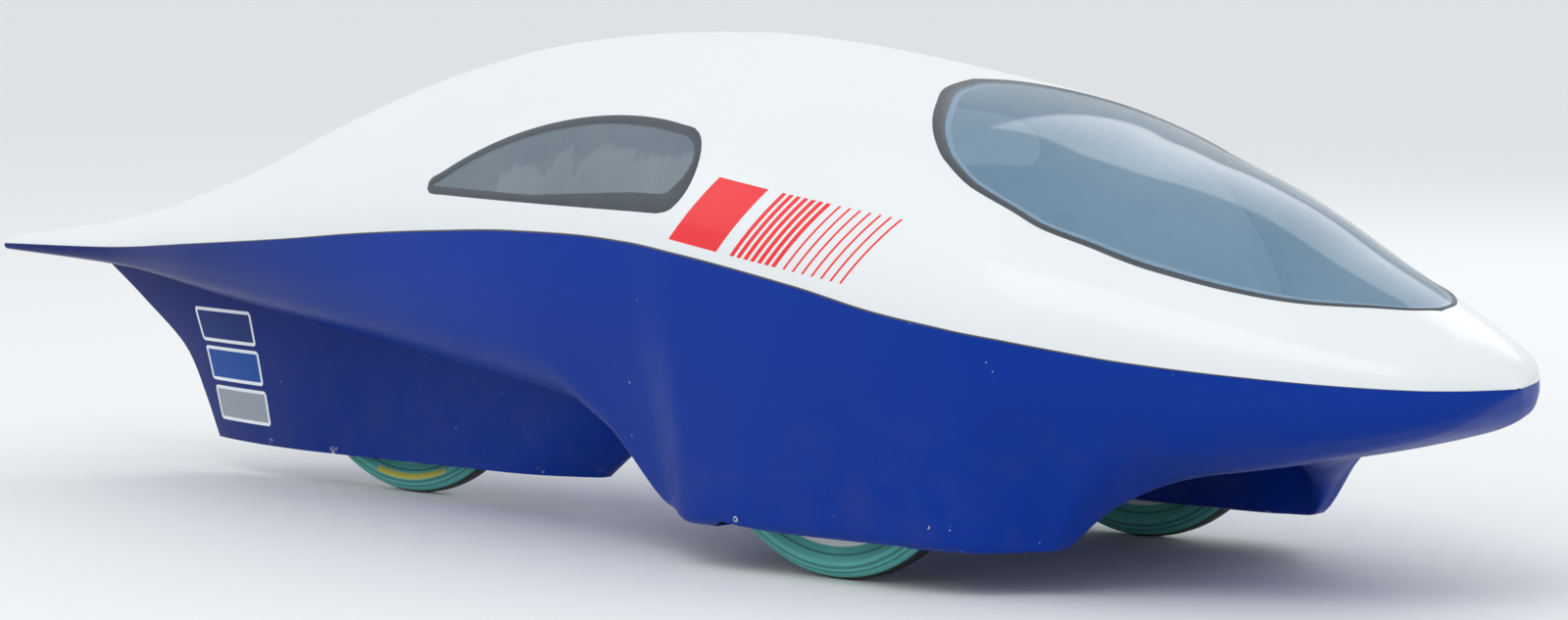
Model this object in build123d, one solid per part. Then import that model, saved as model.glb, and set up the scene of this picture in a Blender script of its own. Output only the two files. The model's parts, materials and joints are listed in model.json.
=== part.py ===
from build123d import *
import os
from math import cos, hypot, radians, sin, sqrt, tan

# Three-wheeled hydrogen car for efficiency contests. A hollow blue lower shell
# with two front wheel legs and a rear fin carries the axles, the driver's seat
# and the fuel cell. A white upper shell with a leaf-shaped windscreen and two
# drop-shaped side windows lifts off upwards. Frame: +X to the nose, +Y to the
# left, +Z up, origin on the ground under the middle of the body's length.
# Millimetres and degrees.

os.makedirs("parts", exist_ok=True)

# Overall sizes
length = 2710.0
front_overhang = 800.0
wheelbase = 1048.0
track = 546.0
roof_height = 630.0
ground_clearance = 52.0

# Wheels
tyre_radius = 239.0
tyre_width = 45.0
bead_radius = 199.0
bead_half = 12.0
rim_depth = 12.0
rim_half = 15.0
skin = 2.0
hub_radius = 30.0
hub_half = 28.0
axle_radius = 6.0
bearing_gap = 0.15
steer_limit = 8.0
wheel_gap = 8.0

# Shells
shell_wall = 5.0
glass_wall = 3.0
split_gap = 0.6
overrun = 16.0
side_clearance = 20.0
leg_tumble = 16.0
leg_lean = 4.0
corner_share = 0.42
leg_corner_share = 0.16
leg_edge_share = 0.2

# Places that follow from the sizes above
nose_x = length / 2
tail_x = -length / 2
front_axle_x = nose_x - front_overhang
rear_axle_x = front_axle_x - wheelbase
wheel_y = track / 2
steer_sweep = tyre_radius * sin(radians(steer_limit))
half_width = wheel_y + tyre_width / 2 + steer_sweep + side_clearance + shell_wall
leg_inner_y = wheel_y - tyre_width / 2 - steer_sweep - wheel_gap


def station_x(station_share):
    """0 to 1 is the tail overhang, 1 to 2 the wheelbase, 2 to 3 the nose."""
    if station_share <= 1:
        return tail_x + station_share * (rear_axle_x - tail_x)
    if station_share <= 2:
        return rear_axle_x + (station_share - 1) * wheelbase
    return front_axle_x + (station_share - 2) * front_overhang


def mix(start, end, share):
    return start + (end - start) * share


# Body sections, tail to nose. Widths are shares of the half width, heights are
# shares of the roof height. Fullness is the flank arc's radius over the rise
# of the upper shell. Leg is how far a wheel leg is grown down at that section,
# and taper how far it is drawn in to an edge.
BODY_SHARES = [
    # station, width, split, top, fullness, belly, leg, taper
    (0.000, 0.030, 0.463, 0.475, 0.60, 0.450, 0.00, 0.00),
    (0.336, 0.170, 0.481, 0.543, 0.60, 0.437, 0.00, 0.00),
    (0.657, 0.400, 0.517, 0.660, 0.62, 0.396, 0.00, 0.00),
    (0.969, 0.590, 0.554, 0.817, 0.66, 0.352, 0.00, 0.00),
    (1.154, 0.700, 0.583, 0.910, 0.70, 0.321, 0.00, 0.00),
    (1.332, 0.800, 0.606, 0.971, 0.74, 0.288, 0.00, 0.00),
    (1.490, 0.875, 0.621, 0.995, 0.78, 0.264, 0.04, 0.60),
    (1.609, 0.915, 0.624, 1.000, 0.80, 0.246, 0.35, 0.70),
    (1.714, 0.942, 0.618, 0.990, 0.82, 0.230, 0.96, 0.66),
    (1.800, 0.978, 0.605, 0.973, 0.86, 0.218, 1.00, 0.00),
    (2.000, 1.000, 0.560, 0.916, 0.92, 0.198, 1.00, 0.00),
    (2.150, 0.998, 0.525, 0.879, 0.92, 0.194, 1.00, 0.00),
    (2.300, 0.975, 0.499, 0.828, 0.86, 0.196, 1.00, 0.10),
    (2.385, 0.915, 0.483, 0.795, 0.78, 0.200, 0.98, 0.76),
    (2.450, 0.850, 0.469, 0.769, 0.72, 0.208, 0.44, 0.80),
    (2.540, 0.745, 0.450, 0.722, 0.65, 0.222, 0.02, 0.50),
    (2.690, 0.590, 0.430, 0.628, 0.62, 0.254, 0.00, 0.00),
    (2.830, 0.450, 0.418, 0.548, 0.60, 0.292, 0.00, 0.00),
    (2.930, 0.310, 0.412, 0.482, 0.60, 0.330, 0.00, 0.00),
    (3.000, 0.070, 0.408, 0.422, 0.60, 0.390, 0.00, 0.00),
]
shoulder_share = 0.35
bilge_width_shares = (0.90, 0.62, 0.25)
bilge_depth_shares = (0.25, 0.03, 0.0)


def arch_section(x, half, split, top, fullness, inset):
    """A closed section: a three-centred arch on two short upright walls."""
    half = half - inset
    rise = top - split - inset
    flank = fullness * (top - split) - inset
    crown = ((half - flank) ** 2 + rise ** 2 - flank ** 2) / (2 * (rise - flank))
    lean_y = (half - flank) / (crown - flank)
    lean_z = (crown - rise) / (crown - flank)
    join = (half - flank + flank * lean_y, split + flank * lean_z)
    bend = flank / hypot(lean_y + 1, lean_z)
    middle = (half - flank + (lean_y + 1) * bend, split + lean_z * bend)
    foot = split + split_gap / 2 if not inset else split - overrun
    foot_left, foot_right = Vector(x, half, foot), Vector(x, -half, foot)
    spring = split + split_gap
    left = [Vector(x, half, spring), Vector(x, *middle), Vector(x, *join)]
    right = [Vector(x, -point.Y, point.Z) for point in left]
    peak = Vector(x, 0, split + rise)
    return Wire([Edge.make_line(foot_left, left[0]),
                 Edge.make_three_point_arc(*left),
                 Edge.make_three_point_arc(left[2], peak, right[2]),
                 Edge.make_three_point_arc(*reversed(right)),
                 Edge.make_line(right[0], foot_right),
                 Edge.make_line(foot_right, foot_left)])


def upper_body(inset, rows):
    """The upper shell's outline as a solid, its walls moved in by the inset."""
    wires = []
    for station, width, split, top, fullness, *lower in rows:
        wires.append(arch_section(station_x(station), width * half_width,
                                  split * roof_height, top * roof_height, fullness, inset))
    return Solid.make_loft(wires, ruled=True)


def half_polygon(width, split, belly, leg, taper):
    """Corners of half a lower section, from the split down and in to the belly."""
    depth = split - belly
    outer = width - leg_tumble
    edge = mix(leg_inner_y, outer, leg_edge_share)
    bilge = [(y_share * width, belly + z_share * depth)
             for y_share, z_share in zip(bilge_width_shares, bilge_depth_shares)]
    legs = [(mix(outer, edge, taper), ground_clearance),
            (mix(leg_inner_y, edge, taper), ground_clearance),
            (leg_inner_y - leg_lean, belly)]
    low = [(mix(b[0], l[0], leg), mix(b[1], l[1], leg)) for b, l in zip(bilge, legs)]
    return [(width, split - split_gap / 2), (width, split - shoulder_share * depth)] + low


def inset_polygon(points, inset):
    """Each side of the open half polygon moved in, and its top end run over."""
    chain = points + [(-points[-1][0], points[-1][1])]
    lines = []
    for (ay, az), (by, bz) in zip(chain, chain[1:]):
        run = hypot(by - ay, bz - az)
        dy, dz = (by - ay) / run, (bz - az) / run
        lines.append((ay + dz * inset, az - dy * inset, dy, dz))
    out = [(lines[0][0], points[0][1] + overrun)]
    for (ay, az, ady, adz), (by, bz, bdy, bdz) in zip(lines, lines[1:]):
        along = ((by - ay) * bdz - (bz - az) * bdy) / (ady * bdz - adz * bdy)
        out.append((ay + ady * along, az + adz * along))
    return out


def rounded_section(x, points, sharp, corner):
    """A closed mirrored section, its corners rounded but for the sharp ones."""
    full = points + [(-y, z) for y, z in reversed(points)]
    keep = list(sharp) + [len(full) - 1 - index for index in sharp]
    spots = [Vector(x, y, z) for y, z in full]
    edges = []
    start = spots[0]
    for index in range(1, len(spots) - 1):
        before, spot, after = spots[index - 1:index + 2]
        if index in keep:
            edges.append(Edge.make_line(start, spot))
            start = spot
            continue
        room = corner * min((spot - before).length, (after - spot).length)
        in_way = (spot - before).normalized()
        out_way = (after - spot).normalized()
        half_turn = radians(in_way.get_angle(out_way)) / 2
        radius = room / tan(half_turn)
        first = spot - in_way * room
        last = spot + out_way * room
        middle = spot + (out_way - in_way).normalized() * (radius / cos(half_turn) - radius)
        edges += [Edge.make_line(start, first), Edge.make_three_point_arc(first, middle, last)]
        start = last
    edges += [Edge.make_line(start, spots[-1]), Edge.make_line(spots[-1], spots[0])]
    return Wire(edges)


def lower_body(inset, rows):
    """The lower shell's outline as a solid, its walls moved in by the inset."""
    wires = []
    for station, width, split, top, fullness, belly, leg, taper in rows:
        points = half_polygon(width * half_width, split * roof_height,
                              belly * roof_height, leg, taper)
        if inset:
            points = inset_polygon(points, inset)
        wires.append(rounded_section(station_x(station), points, (1, 4) if inset else (4,),
                                     mix(corner_share, leg_corner_share, leg)))
    return Solid.make_loft(wires, ruled=True)


def block(x_from, x_to, y_from, y_to, z_from, z_to):
    return Pos((x_from + x_to) / 2, (y_from + y_to) / 2, (z_from + z_to) / 2) * Box(
        x_to - x_from, y_to - y_from, z_to - z_from)


def rod_y(x, z, y_from, y_to, radius):
    """A round bar along Y."""
    return Pos(x, (y_from + y_to) / 2, z) * Rot(90, 0, 0) * Cylinder(radius, abs(y_to - y_from))


def rod_z(x, y, z_from, z_to, radius):
    return Pos(x, y, (z_from + z_to) / 2) * Cylinder(radius, z_to - z_from)


def rod_x(y, z, x_from, x_to, radius):
    return Pos((x_from + x_to) / 2, y, z) * Rot(0, 90, 0) * Cylinder(radius, x_to - x_from)


def mirrored(shape):
    return mirror(shape, Plane.XZ)


def save(shape, node):
    export_step(shape if isinstance(shape, (Solid, Compound)) else Compound(shape.solids()),
                "parts/" + node + ".step")
    print(node, len(shape.solids()), round(shape.volume))


# Body outlines and hollows
upper_outer = upper_body(0, BODY_SHARES)
upper_hollow = upper_body(shell_wall, BODY_SHARES[1:-1])
lower_outer = lower_body(0, BODY_SHARES)
lower_hollow = lower_body(shell_wall, BODY_SHARES[2:-1])

# Rear fin around the rear wheel, as level sections from its foot up into the hull
fin_clearance = 46.0
fin_top = 0.476 * roof_height
fin_half = 48.0
fin_nose_length = 130.0
fin_nose_half = 14.0
fin_nose_round = 12.0
fin_edge = 3.0
fin_shoulder = 120.0
fin_edge_draw_share = 4.0
slot_gap = 13.0
slot_end_gap = 18.0
FIN_SHARES = [
    # height share, reach ahead of the rear axle and behind it as wheelbase shares
    (0.00, 0.336, 0.383),
    (0.21, 0.402, 0.408),
    (0.45, 0.458, 0.443),
    (0.72, 0.523, 0.532),
    (1.00, 0.571, 0.641),
]


def tangent_arc(start, end):
    """An arc in a level plane that leaves its start along the car's length."""
    run, draw = abs(end.X - start.X), abs(end.Y - start.Y)
    radius = (run ** 2 + draw ** 2) / (2 * draw)
    dip = radius - sqrt(radius ** 2 - (run / 2) ** 2)
    middle_y = start.Y - dip if start.Y > 0 else start.Y + dip
    return Edge.make_three_point_arc(start, Vector((start.X + end.X) / 2, middle_y, start.Z), end)


def turned(edge):
    return Edge.make_three_point_arc(edge @ 1, edge @ 0.5, edge @ 0)


def fin_body(inset):
    wires = []
    for height_share, ahead, behind in FIN_SHARES:
        z = mix(fin_clearance, fin_top, height_share)
        if inset:
            z = mix(fin_clearance + inset, fin_top + overrun, height_share)
        half = fin_half - inset
        nose = rear_axle_x + ahead * wheelbase - inset
        tail = rear_axle_x - behind * wheelbase + fin_edge_draw_share * inset
        edge = fin_edge - inset / 2
        nose_half = fin_nose_half - inset / 2
        nose_left, nose_right = Vector(nose, nose_half, z), Vector(nose, -nose_half, z)
        front_left = Vector(nose - fin_nose_length, half, z)
        front_right = Vector(nose - fin_nose_length, -half, z)
        shoulder_left = Vector(rear_axle_x - fin_shoulder, half, z)
        shoulder_right = Vector(rear_axle_x - fin_shoulder, -half, z)
        tail_left, tail_right = Vector(tail, edge, z), Vector(tail, -edge, z)
        wires.append(Wire([Edge.make_three_point_arc(
                               nose_right, Vector(nose + fin_nose_round, 0, z), nose_left),
                           turned(tangent_arc(front_left, nose_left)),
                           Edge.make_line(front_left, shoulder_left),
                           tangent_arc(shoulder_left, tail_left),
                           Edge.make_line(tail_left, tail_right),
                           turned(tangent_arc(shoulder_right, tail_right)),
                           Edge.make_line(shoulder_right, front_right),
                           tangent_arc(front_right, nose_right)]))
    return Solid.make_loft(wires, ruled=True)


def slot_chord(clearance):
    """Half the tyre's length where it passes through a wall at that height."""
    return sqrt(tyre_radius ** 2 - (tyre_radius - clearance - shell_wall) ** 2)


def wheel_slot(x, y, half_wide, clearance):
    """A slot with rounded corners through the foot of a wheel's housing."""
    slot = RectangleRounded(2 * (slot_chord(clearance) + slot_end_gap), 2 * half_wide,
                            tyre_width / 4)
    return Pos(x, y, clearance - overrun) * extrude(slot, 2 * overrun)


fin_hollow = fin_body(shell_wall)
rear_slot = wheel_slot(rear_axle_x, 0, tyre_width / 2 + slot_gap, fin_clearance)
rear_fin = fin_body(0) - fin_hollow - lower_outer - rear_slot
save(rear_fin.solids().sort_by(SortBy.VOLUME)[-1], "rear_wheel_fairing")

slot_sweep = slot_chord(ground_clearance) * sin(radians(steer_limit))
front_slot = wheel_slot(front_axle_x, wheel_y, tyre_width / 2 + slot_sweep + slot_gap,
                        ground_clearance)
lower_shell = lower_outer - lower_hollow - fin_hollow - front_slot - mirrored(front_slot)
save(lower_shell, "lower_shell")

# Windscreen, a leaf seen from above, with a thick seal at its rear end
screen_tip_share = 2.875
screen_front_share = 2.620
screen_wide_share = 2.294
screen_rear_share = 2.100
screen_end_share = 1.972
screen_end_bulge = 8.0
screen_half_shares = (0.490, 0.733, 0.560, 0.140)
seal_tip = 24.0
seal_side = 7.0
seal_rear = 18.0
tall = 2 * roof_height


def leaf(tip_in, side_in, rear_in):
    """The windscreen's outline on the ground plane, drawn in by three amounts."""
    halves = [share * half_width - side_in for share in screen_half_shares]
    tip = (station_x(screen_tip_share) - tip_in, 0)
    front = (station_x(screen_front_share), halves[0])
    wide = (station_x(screen_wide_share), halves[1])
    rear = (station_x(screen_rear_share), halves[2])
    end = (station_x(screen_end_share) + rear_in, halves[3])
    back = (end[0] - screen_end_bulge, 0)

    def other(point):
        return (point[0], -point[1])

    outline = [ThreePointArc(tip, front, wide), ThreePointArc(wide, rear, end),
               ThreePointArc(end, back, other(end)),
               ThreePointArc(other(end), other(rear), other(wide)),
               ThreePointArc(other(wide), other(front), tip)]
    return extrude(make_face(outline), tall)


leaf_opening = leaf(0, 0, 0)
leaf_glass = leaf(seal_tip, seal_side, seal_rear)

# Side windows, a drop seen from the side
drop_rear = -718.0
drop_tip = -735.0
drop_front = -252.0
drop_bulge = -195.0
drop_foot_front = -235.0
drop_middle = -460.0
drop_foot = 0.680 * roof_height
drop_tip_height = 0.713 * roof_height
drop_bulge_height = 0.750 * roof_height
drop_crown = 0.846 * roof_height
drop_corner_height = 0.843 * roof_height
drop_border = 13.0


def drop(inset):
    """The side window's outline, as a bar right through the body."""
    def spot(x, z):
        return (front_axle_x + x, z)

    outline = [
        ThreePointArc(spot(drop_front, drop_corner_height), spot(drop_middle, drop_crown),
                      spot(drop_rear, drop_tip_height)),
        ThreePointArc(spot(drop_rear, drop_tip_height),
                      spot(drop_tip, (drop_foot + drop_tip_height) / 2),
                      spot(drop_rear, drop_foot)),
        Line(spot(drop_rear, drop_foot), spot(drop_foot_front, drop_foot)),
        ThreePointArc(spot(drop_foot_front, drop_foot), spot(drop_bulge, drop_bulge_height),
                      spot(drop_front, drop_corner_height))]
    face = make_face(outline)
    if inset:
        face = offset(face, -inset)
    return extrude(Plane.XZ * face, half_width, both=True)


drop_opening = drop(0)
drop_glass = drop(drop_border)

upper_wall = upper_outer - upper_hollow
upper_shell = upper_wall - leaf_opening - drop_opening
save(upper_shell, "upper_shell")
glass_zone = upper_body(0, BODY_SHARES[6:-1]) - upper_body(glass_wall, BODY_SHARES[6:-1])
save((upper_wall & leaf_opening) - leaf_glass, "windscreen_seal")
save(glass_zone & leaf_glass, "windscreen")
side_seals = (upper_wall & drop_opening) - drop_glass
side_zone = upper_body(0, BODY_SHARES[4:-6]) - upper_body(glass_wall, BODY_SHARES[4:-6])
side_glass = side_zone & drop_glass
for side, name in ((1, "left"), (-1, "right")):
    half_space = block(tail_x, nose_x, min(0, side * half_width), max(0, side * half_width),
                       0, roof_height)
    save(side_seals & half_space, "side_window_seal_" + name)
    save(side_glass & half_space, "side_window_" + name)

# Wheels, each a tyre on a hollow disc wheel that turns on its hub
crown_share = 0.72
bulge_share = 0.45


def ring_y(outline):
    """A profile of (radius, y) points turned once round the wheel's axle."""
    return revolve(Plane.XY * make_face(outline), Axis.Y)


def wheel_parts():
    bulge_radius = mix(bead_radius, tyre_radius, bulge_share)
    crown_radius = mix(bead_radius, tyre_radius, 0.5 + crown_share / 2)
    crown_half = tyre_width / 2 * crown_share
    wide = tyre_width / 2
    tyre = ring_y([
        Line((bead_radius, -bead_half), (bead_radius, bead_half)),
        Line((bead_radius, bead_half), (bulge_radius, wide)),
        ThreePointArc((bulge_radius, wide), (crown_radius, crown_half), (tyre_radius, 0)),
        ThreePointArc((tyre_radius, 0), (crown_radius, -crown_half), (bulge_radius, -wide)),
        Line((bulge_radius, -wide), (bead_radius, -bead_half))])
    well = bead_radius - rim_depth
    outline = Polyline([(hub_radius, -hub_half + skin), (well, -rim_half + skin / 2),
                        (bead_radius, -rim_half), (bead_radius, rim_half),
                        (well, rim_half - skin / 2), (hub_radius, hub_half - skin),
                        (hub_radius, hub_half - 2 * skin), (well - skin, rim_half - 2 * skin),
                        (well - skin, -rim_half + 2 * skin), (hub_radius, -hub_half + 2 * skin),
                        (hub_radius, -hub_half + skin)])
    disc = ring_y(outline)
    bore = axle_radius + bearing_gap
    hub = ring_y(Polyline([(bore, -hub_half), (hub_radius - 2 * skin, -hub_half),
                           (hub_radius, -hub_half + skin), (hub_radius, hub_half - skin),
                           (hub_radius - 2 * skin, hub_half), (bore, hub_half),
                           (bore, -hub_half)]))
    return {"tyre": tyre, "wheel_disc": disc, "hub": hub}


WHEELS = [("front_left", front_axle_x, wheel_y), ("front_right", front_axle_x, -wheel_y),
          ("rear", rear_axle_x, 0)]
for place, x, y in WHEELS:
    for piece, shape in wheel_parts().items():
        save(Pos(x, y, tyre_radius) * shape, piece + "_" + place)

# Front axle beam with a bush for the steering column and a clevis at each end
beam_bottom = 150.0
beam_high = 26.0
beam_wide = 40.0
beam_wall = 3.0
kingpin_inset = 47.0
kingpin_radius = 5.0
knuckle_radius = 10.0
knuckle_half = 31.0
pin_gap = 0.15
thrust_gap = 0.4
lug_thick = 6.0
lug_half = 14.0
lug_plate = 6.0
lug_plate_gap = 20.0
column_radius = 8.0
bush_radius = 14.0
bush_top = 196.0
kingpin_y = wheel_y - kingpin_inset
plate_y = kingpin_y - lug_plate_gap
axle_z = tyre_radius
lug_low = axle_z - knuckle_half - thrust_gap
lug_high = axle_z + knuckle_half + thrust_gap
beam = block(front_axle_x - beam_wide / 2, front_axle_x + beam_wide / 2, -plate_y, plate_y,
             beam_bottom, beam_bottom + beam_high)
beam -= block(front_axle_x - beam_wide / 2 + beam_wall, front_axle_x + beam_wide / 2 - beam_wall,
              -plate_y - overrun, plate_y + overrun, beam_bottom + beam_wall,
              beam_bottom + beam_high - beam_wall)
beam += rod_z(front_axle_x, 0, beam_bottom, bush_top, bush_radius)
beam -= rod_z(front_axle_x, 0, beam_bottom + beam_wall, bush_top + overrun,
              column_radius + pin_gap)
clevis = block(front_axle_x - lug_half, front_axle_x + lug_half, plate_y - lug_plate, plate_y,
               beam_bottom, lug_high + lug_thick)
for low in (lug_low - lug_thick, lug_high):
    clevis += block(front_axle_x - lug_half, front_axle_x + lug_half, plate_y,
                    kingpin_y, low, low + lug_thick)
    clevis += rod_z(front_axle_x, kingpin_y, low, low + lug_thick, lug_half)
clevis += rod_z(front_axle_x, kingpin_y, lug_low - lug_thick, lug_high + lug_thick,
                kingpin_radius)
beam = beam + clevis + mirrored(clevis)
foot_half = 60.0
for y in (-plate_y / 2, plate_y / 2):
    beam += block(front_axle_x - beam_wide / 2, front_axle_x + beam_wide / 2, y - foot_half / 2,
                  y + foot_half / 2, ground_clearance, beam_bottom)
beam &= lower_hollow + block(front_axle_x - length / 2, nose_x, -half_width, half_width,
                             beam_bottom, roof_height)
save(beam, "front_axle_beam")

# Knuckles: a tube on the kingpin, the wheel's spindle and the steering arm
spindle_shoulder = 9.0
spindle_end = 34.0
arm_length = 60.0
arm_half = 7.0
arm_drop = 22.0
arm_thick = 8.0
rod_pin_radius = 4.0
rod_pin_length = 14.0
hub_inner_y = wheel_y - hub_half
arm_top = axle_z - arm_drop


def knuckle(side):
    pin_y = side * kingpin_y
    body = rod_z(front_axle_x, pin_y, axle_z - knuckle_half, axle_z + knuckle_half,
                 knuckle_radius)
    body += rod_y(front_axle_x, axle_z, *sorted((pin_y, side * (hub_inner_y - thrust_gap))),
                  spindle_shoulder)
    body += rod_y(front_axle_x, axle_z, *sorted((pin_y, side * (wheel_y + spindle_end))),
                  axle_radius)
    body += rod_y(front_axle_x, axle_z,
                  *sorted((side * (wheel_y + hub_half + thrust_gap),
                           side * (wheel_y + spindle_end))), spindle_shoulder)
    body += block(front_axle_x - arm_length, front_axle_x, pin_y - arm_half, pin_y + arm_half,
                  arm_top - arm_thick, arm_top)
    body += rod_z(front_axle_x - arm_length, pin_y, arm_top - arm_thick, arm_top, arm_half)
    body += rod_z(front_axle_x - arm_length, pin_y, arm_top, arm_top + rod_pin_length,
                  rod_pin_radius)
    return body - rod_z(front_axle_x, pin_y, axle_z - knuckle_half - overrun,
                        axle_z + knuckle_half + overrun, kingpin_radius + pin_gap)


save(knuckle(1), "knuckle_left")
save(knuckle(-1), "knuckle_right")

# Steering column with its arm and bar, and the rod that joins both knuckles
column_top = 0.635 * roof_height
collar_thick = 5.0
bar_radius = 8.0
bar_half = 130.0
grip_radius = 13.0
grip_length = 85.0
column = rod_z(front_axle_x, 0, beam_bottom + beam_wall, column_top, column_radius)
column += rod_z(front_axle_x, 0, bush_top + thrust_gap, bush_top + collar_thick, bush_radius)
column += block(front_axle_x - arm_length, front_axle_x, -arm_half, arm_half,
                arm_top - arm_thick, arm_top)
column += rod_z(front_axle_x - arm_length, 0, arm_top - arm_thick, arm_top, arm_half)
column += rod_z(front_axle_x - arm_length, 0, arm_top, arm_top + rod_pin_length, rod_pin_radius)
column += rod_y(front_axle_x, column_top, -bar_half, bar_half, bar_radius)
save(column, "steering_column")
grip = rod_y(front_axle_x, column_top, bar_half - grip_length, bar_half + thrust_gap, grip_radius)
grip -= rod_y(front_axle_x, column_top, bar_half - grip_length - overrun, bar_half, bar_radius)
save(Compound([grip.solid(), mirrored(grip).solid()]), "steering_grips")

rod_radius = 5.0
eye_radius = 9.0
eye_high_over_rod = 1.0
eye_low = arm_top + thrust_gap
eye_high = eye_low + 2 * (rod_radius + eye_high_over_rod)
rod_z_place = (eye_low + eye_high) / 2
track_rod = rod_y(front_axle_x - arm_length, rod_z_place, -kingpin_y, kingpin_y, rod_radius)
for y in (-kingpin_y, 0, kingpin_y):
    track_rod += rod_z(front_axle_x - arm_length, y, eye_low, eye_high, eye_radius)
for y in (-kingpin_y, 0, kingpin_y):
    track_rod -= rod_z(front_axle_x - arm_length, y, eye_low - overrun, eye_high + overrun,
                       rod_pin_radius + pin_gap)
save(track_rod, "track_rod")

# Inner wheel boxes: a wall beside the cabin and a narrow roof over the tyre
box_wall = 3.0
box_gap = 14.0
box_y = plate_y + box_wall / 2
box_roof_y = wheel_y - tyre_width / 2
box_radius = tyre_radius + box_gap
port_front = 24.0
port_rear = 84.0
port_low = 196.0
port_high = 284.0
outer_disc = rod_y(front_axle_x, axle_z, box_y, box_roof_y, box_radius + box_wall)
outer_disc += block(front_axle_x - box_radius - box_wall, front_axle_x + box_radius + box_wall,
                    box_y, box_roof_y, beam_bottom - overrun, axle_z)
inner_disc = rod_y(front_axle_x, axle_z, box_y + box_wall, box_roof_y + overrun, box_radius)
inner_disc += block(front_axle_x - box_radius, front_axle_x + box_radius, box_y + box_wall,
                    box_roof_y + overrun, ground_clearance, axle_z)
wheel_box = outer_disc - inner_disc
wheel_box -= block(front_axle_x - port_rear, front_axle_x + port_front, box_y - overrun,
                   box_y + overrun, port_low, port_high)
wheel_box &= lower_hollow + block(tail_x, nose_x, 0, half_width, axle_z, roof_height)
save(wheel_box, "wheel_box_left")
save(mirrored(wheel_box), "wheel_box_right")

# Bulkhead behind the driver, roll hoop and headrest
bulkhead_behind = 700.0
bulkhead_x = front_axle_x - bulkhead_behind
bulkhead_thick = 6.0
upper_running_gap = 6.0
hoop_radius = 12.0
hoop_half = 170.0
hoop_spring = 0.627 * roof_height
cabin = lower_hollow + upper_body(shell_wall + upper_running_gap, BODY_SHARES[1:-1])
upper_margin = upper_outer - upper_body(shell_wall + upper_running_gap, BODY_SHARES[1:-1])
bulkhead = block(bulkhead_x, bulkhead_x + bulkhead_thick, -half_width, half_width, 0,
                 roof_height) & cabin
bulkhead -= upper_margin
belt_bolt_radius = 5.5
belt_half = 125.0
belt_z = 0.754 * roof_height
for y in (-belt_half, belt_half):
    bulkhead -= rod_x(y, belt_z, bulkhead_x - overrun, bulkhead_x + overrun, belt_bolt_radius)
save(bulkhead, "bulkhead")
hoop_x = bulkhead_x + bulkhead_thick + hoop_radius
hoop_line = Wire([
    Edge.make_line(Vector(hoop_x, -hoop_half, 0), Vector(hoop_x, -hoop_half, hoop_spring)),
    Edge.make_three_point_arc(Vector(hoop_x, -hoop_half, hoop_spring),
                              Vector(hoop_x, 0, hoop_spring + hoop_half),
                              Vector(hoop_x, hoop_half, hoop_spring)),
    Edge.make_line(Vector(hoop_x, hoop_half, hoop_spring), Vector(hoop_x, hoop_half, 0))])
hoop = sweep(Plane((hoop_x, -hoop_half, 0)) * Circle(hoop_radius), hoop_line)
save(hoop & cabin, "roll_hoop")
headrest_half = 85.0
headrest_thick = 48.0
headrest_low = 0.659 * roof_height
headrest_high = 0.841 * roof_height
headrest_round = 12.0
soft_gap = 0.3
headrest = block(bulkhead_x + bulkhead_thick + soft_gap,
                 bulkhead_x + bulkhead_thick + headrest_thick, -headrest_half, headrest_half,
                 headrest_low, headrest_high)
save(fillet(headrest.edges(), headrest_round), "headrest_pad")

# Seat shell on two rails, with its pad
seat_half = 150.0
seat_thick = 4.0
seat_front = 90.0
seat_hip = 170.0
seat_front_lift = 0.292 * roof_height
seat_hip_height = 0.270 * roof_height
seat_top_height = 0.556 * roof_height
seat_pad_thick = 26.0
rail_half = 4.0
rail_place = 130.0
back_x = bulkhead_x + bulkhead_thick + seat_thick


def seat_line(lift):
    return [(front_axle_x - seat_front, seat_front_lift + lift),
            (front_axle_x - seat_hip, seat_hip_height + lift),
            (front_axle_x - 2 * seat_hip, seat_hip_height + lift),
            (back_x, seat_top_height + lift)]


def seat_slab(low, high, half):
    outline = Polyline(seat_line(low) + list(reversed(seat_line(high))), close=True)
    return extrude(Plane.XZ * make_face(outline), half, both=True)


seat_shell = seat_slab(-seat_thick, 0, seat_half)
rail_side = make_face(Polyline(seat_line(-seat_thick)
                               + [(back_x, 0), (front_axle_x - seat_front, 0)], close=True))
for y in (-rail_place, rail_place):
    seat_shell += Pos(0, y, 0) * extrude(Plane.XZ * rail_side, rail_half, both=True)
seat_shell &= lower_hollow
save(seat_shell, "seat_shell")
pad = seat_slab(soft_gap, seat_pad_thick, seat_half - seat_thick)
pad &= block(back_x + seat_pad_thick, nose_x, -half_width, half_width, 0, roof_height)
save(pad, "seat_pad")

# Rear frame: two plates from the bulkhead to the axle, joined behind the wheel
frame_inner = 34.0
frame_thick = 6.0
frame_low = 268.0
frame_high = 312.0
dropout_half = 26.0
dropout_low = 24.0
frame_end = 40.0
dropout_plate = block(rear_axle_x - frame_end, bulkhead_x, frame_inner,
                      frame_inner + frame_thick, frame_low, frame_high)
dropout_plate += block(rear_axle_x - dropout_half, rear_axle_x + dropout_half, frame_inner,
                       frame_inner + frame_thick, axle_z - dropout_low, frame_high)
dropout_plate -= rod_y(rear_axle_x, axle_z, 0, fin_half, axle_radius)
save(Compound([dropout_plate.solid(), mirrored(dropout_plate).solid()]), "rear_frame_plates")
axle_half = frame_inner + frame_thick
rear_axle = rod_y(rear_axle_x, axle_z, -axle_half - bearing_gap, axle_half + bearing_gap,
                  axle_radius)
rear_axle += rod_y(rear_axle_x, axle_z, hub_half + thrust_gap, frame_inner, spindle_shoulder)
rear_axle += rod_y(rear_axle_x, axle_z, -frame_inner, -hub_half - thrust_gap, spindle_shoulder)
save(rear_axle, "rear_axle")

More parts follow.
